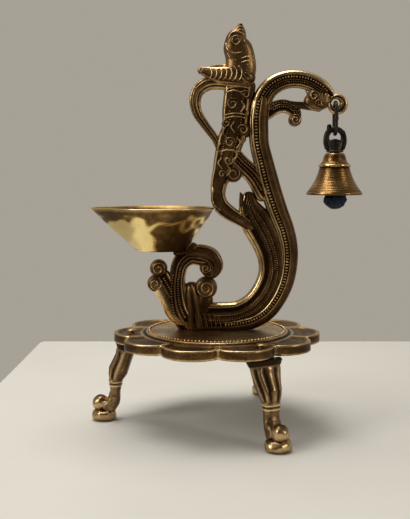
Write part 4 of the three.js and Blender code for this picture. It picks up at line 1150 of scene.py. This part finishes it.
ANTIQUE = metal(
    "antique_brass_finish",
    [(0.02, 0.010, 0.004), (0.098, 0.052, 0.021), (0.31, 0.18, 0.070), (0.82, 0.59, 0.29)], (0.5, 0.26), 0.34,
)
LEG_BRASS = metal(
    "leg_brass_finish",
    [(0.03, 0.017, 0.008), (0.16, 0.095, 0.045), (0.52, 0.35, 0.17), (0.88, 0.66, 0.38)], (0.42, 0.18), 0.25,
)
POLISHED = metal(
    "polished_brass_finish",
    [(0.10, 0.058, 0.022), (0.34, 0.21, 0.075), (0.72, 0.51, 0.17), (0.90, 0.71, 0.32)], (0.42, 0.2), 0.3,
    grain=0.15, scale=0.6,
)
BELL = metal(
    "bell_brass_finish",
    [(0.035, 0.018, 0.007), (0.14, 0.07, 0.024), (0.36, 0.20, 0.065), (0.78, 0.52, 0.22)], (0.42, 0.18), 0.3,
)
IRON = metal(
    "dark_iron_finish",
    [(0.012, 0.01, 0.008), (0.05, 0.04, 0.032), (0.12, 0.10, 0.085)], (0.55, 0.35), 0.4,
)
LUMP = metal(
    "clapper_iron_finish",
    [(0.010, 0.012, 0.02), (0.035, 0.042, 0.065), (0.07, 0.08, 0.11)], (0.7, 0.45), 0.5,
)
FASTENER = metal(
    "fastener_brass_finish",
    [(0.12, 0.07, 0.03), (0.45, 0.28, 0.11), (0.75, 0.52, 0.24)], (0.4, 0.25), 0.35, has_wear=False,
)


# ---------- stage, light and camera ----------

CAMERA_HEIGHT, CAMERA_DISTANCE, CAMERA_X = 123.7, 425, -6
CAMERA_PITCH = 5.60
FIELD_OF_VIEW = 33.95
TABLE_LEFT, TABLE_RIGHT, TABLE_FRONT, TABLE_BACK, TABLE_THICK = -137, 152, -520, 211, 24


def table(material):
    """A plain pale table top under the lamp, with round edges."""
    bpy.ops.mesh.primitive_cube_add(size=1)
    top = bpy.context.object
    top.name = "table"
    top.scale = ((TABLE_RIGHT - TABLE_LEFT) * MM, (TABLE_BACK - TABLE_FRONT) * MM, TABLE_THICK * MM)
    middle = ((TABLE_RIGHT + TABLE_LEFT) / 2, (TABLE_BACK + TABLE_FRONT) / 2, -TABLE_THICK / 2)
    top.location = [value * MM for value in middle]
    bpy.ops.object.transform_apply(location=True, scale=True)
    bevel = top.modifiers.new("round", "BEVEL")
    bevel.width, bevel.segments = 6 * MM, 5
    top.data.materials.append(material)


def table_material():
    material = bpy.data.materials.new("table_paint")
    tree = NodeTree(material)
    shader = tree.nodes["Principled BSDF"]
    cloud = tree.noise(tree.add("TexCoord").outputs["Object"], 9, 4)
    stops = [(0.3, (0.655, 0.64, 0.59)), (0.7, (0.695, 0.68, 0.63))]
    tree.ramp(cloud, stops, shader.inputs["Base Color"])
    shader.inputs["Roughness"].default_value = 0.55
    return material


def area_light(name, place, target, size, power, colour=(1, 0.975, 0.94)):
    data = bpy.data.lights.new(name, "AREA")
    data.shape = "RECTANGLE"
    data.size, data.size_y = size
    data.energy, data.color = power, colour
    lamp = bpy.data.objects.new(name, data)
    lamp.location = place
    lamp.rotation_euler = (Vector(target) - Vector(place)).to_track_quat("-Z", "Y").to_euler()
    bpy.context.scene.collection.objects.link(lamp)


WALL = (0.385, 0.355, 0.305, 1)
DIM_SIDE = (0.085, 0.078, 0.068, 1)


def room():
    """An even grey wall to look at. What the metal reflects is dimmer towards the front of the lamp."""
    world = bpy.data.worlds.new("room")
    tree = NodeTree(world)
    direction = tree.add("SeparateXYZ")
    tree.links.new(tree.add("TexCoord").outputs["Generated"], direction.inputs["Vector"])
    towards_wall = tree.add("MapRange")
    towards_wall.interpolation_type = "SMOOTHSTEP"
    towards_wall.inputs["From Min"].default_value = -0.75
    towards_wall.inputs["From Max"].default_value = 0.35
    tree.links.new(direction.outputs["Y"], towards_wall.inputs["Value"])
    seen = tree.add("LightPath").outputs["Is Camera Ray"]
    mix = tree.add("Mix")
    mix.data_type = "RGBA"
    tree.links.new(tree.math("MAXIMUM", seen, towards_wall.outputs["Result"]), mix.inputs["Factor"])
    mix.inputs["A"].default_value, mix.inputs["B"].default_value = DIM_SIDE, WALL
    tree.links.new(mix.outputs["Result"], tree.nodes["Background"].inputs["Color"])
    bpy.context.scene.world = world


def light_the_scene():
    room()
    area_light("ceiling", (-0.12, 0.1, 0.75), (0, 0, 0), (0.55, 0.4), 4.4)
    area_light("window", (-0.75, -0.45, 0.5), (0, 0, 0.1), (0.35, 0.6), 3.4)
    area_light("fill", (0.7, -0.5, 0.35), (0, 0, 0.1), (0.2, 0.4), 1.2, (1, 0.96, 0.9))


def camera():
    data = bpy.data.cameras.new("camera")
    data.sensor_fit = "VERTICAL"
    data.angle = math.radians(FIELD_OF_VIEW)
    eye = bpy.data.objects.new("camera", data)
    eye.location = ((CAMERA_X + AXIS_X) * MM, -CAMERA_DISTANCE * MM, CAMERA_HEIGHT * MM)
    eye.rotation_euler = (math.radians(90 - CAMERA_PITCH), 0, 0)
    bpy.context.scene.collection.objects.link(eye)
    bpy.context.scene.camera = eye


camera()
light_the_scene()
bpy.context.scene.view_settings.view_transform = "Standard"
table(table_material())
casting(ANTIQUE)
plate(ANTIQUE)
legs(LEG_BRASS)
bowl(POLISHED)
link(IRON)
bell_eye(IRON)
bell(BELL)
clapper_wire(IRON)
clapper_ball(LUMP)
rivets(FASTENER)
bowl_screw(FASTENER)

PLAIN_FASTENERS = {
    FASTENER: ("base_screw_left", "base_screw_right", "base_washer_left", "base_washer_right", "bowl_washer"),
    IRON: ("bell_nut",),
}
for finish, nodes in PLAIN_FASTENERS.items():
    for node in nodes:
        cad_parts[node].data.materials.clear()
        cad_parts[node].data.materials.append(finish)
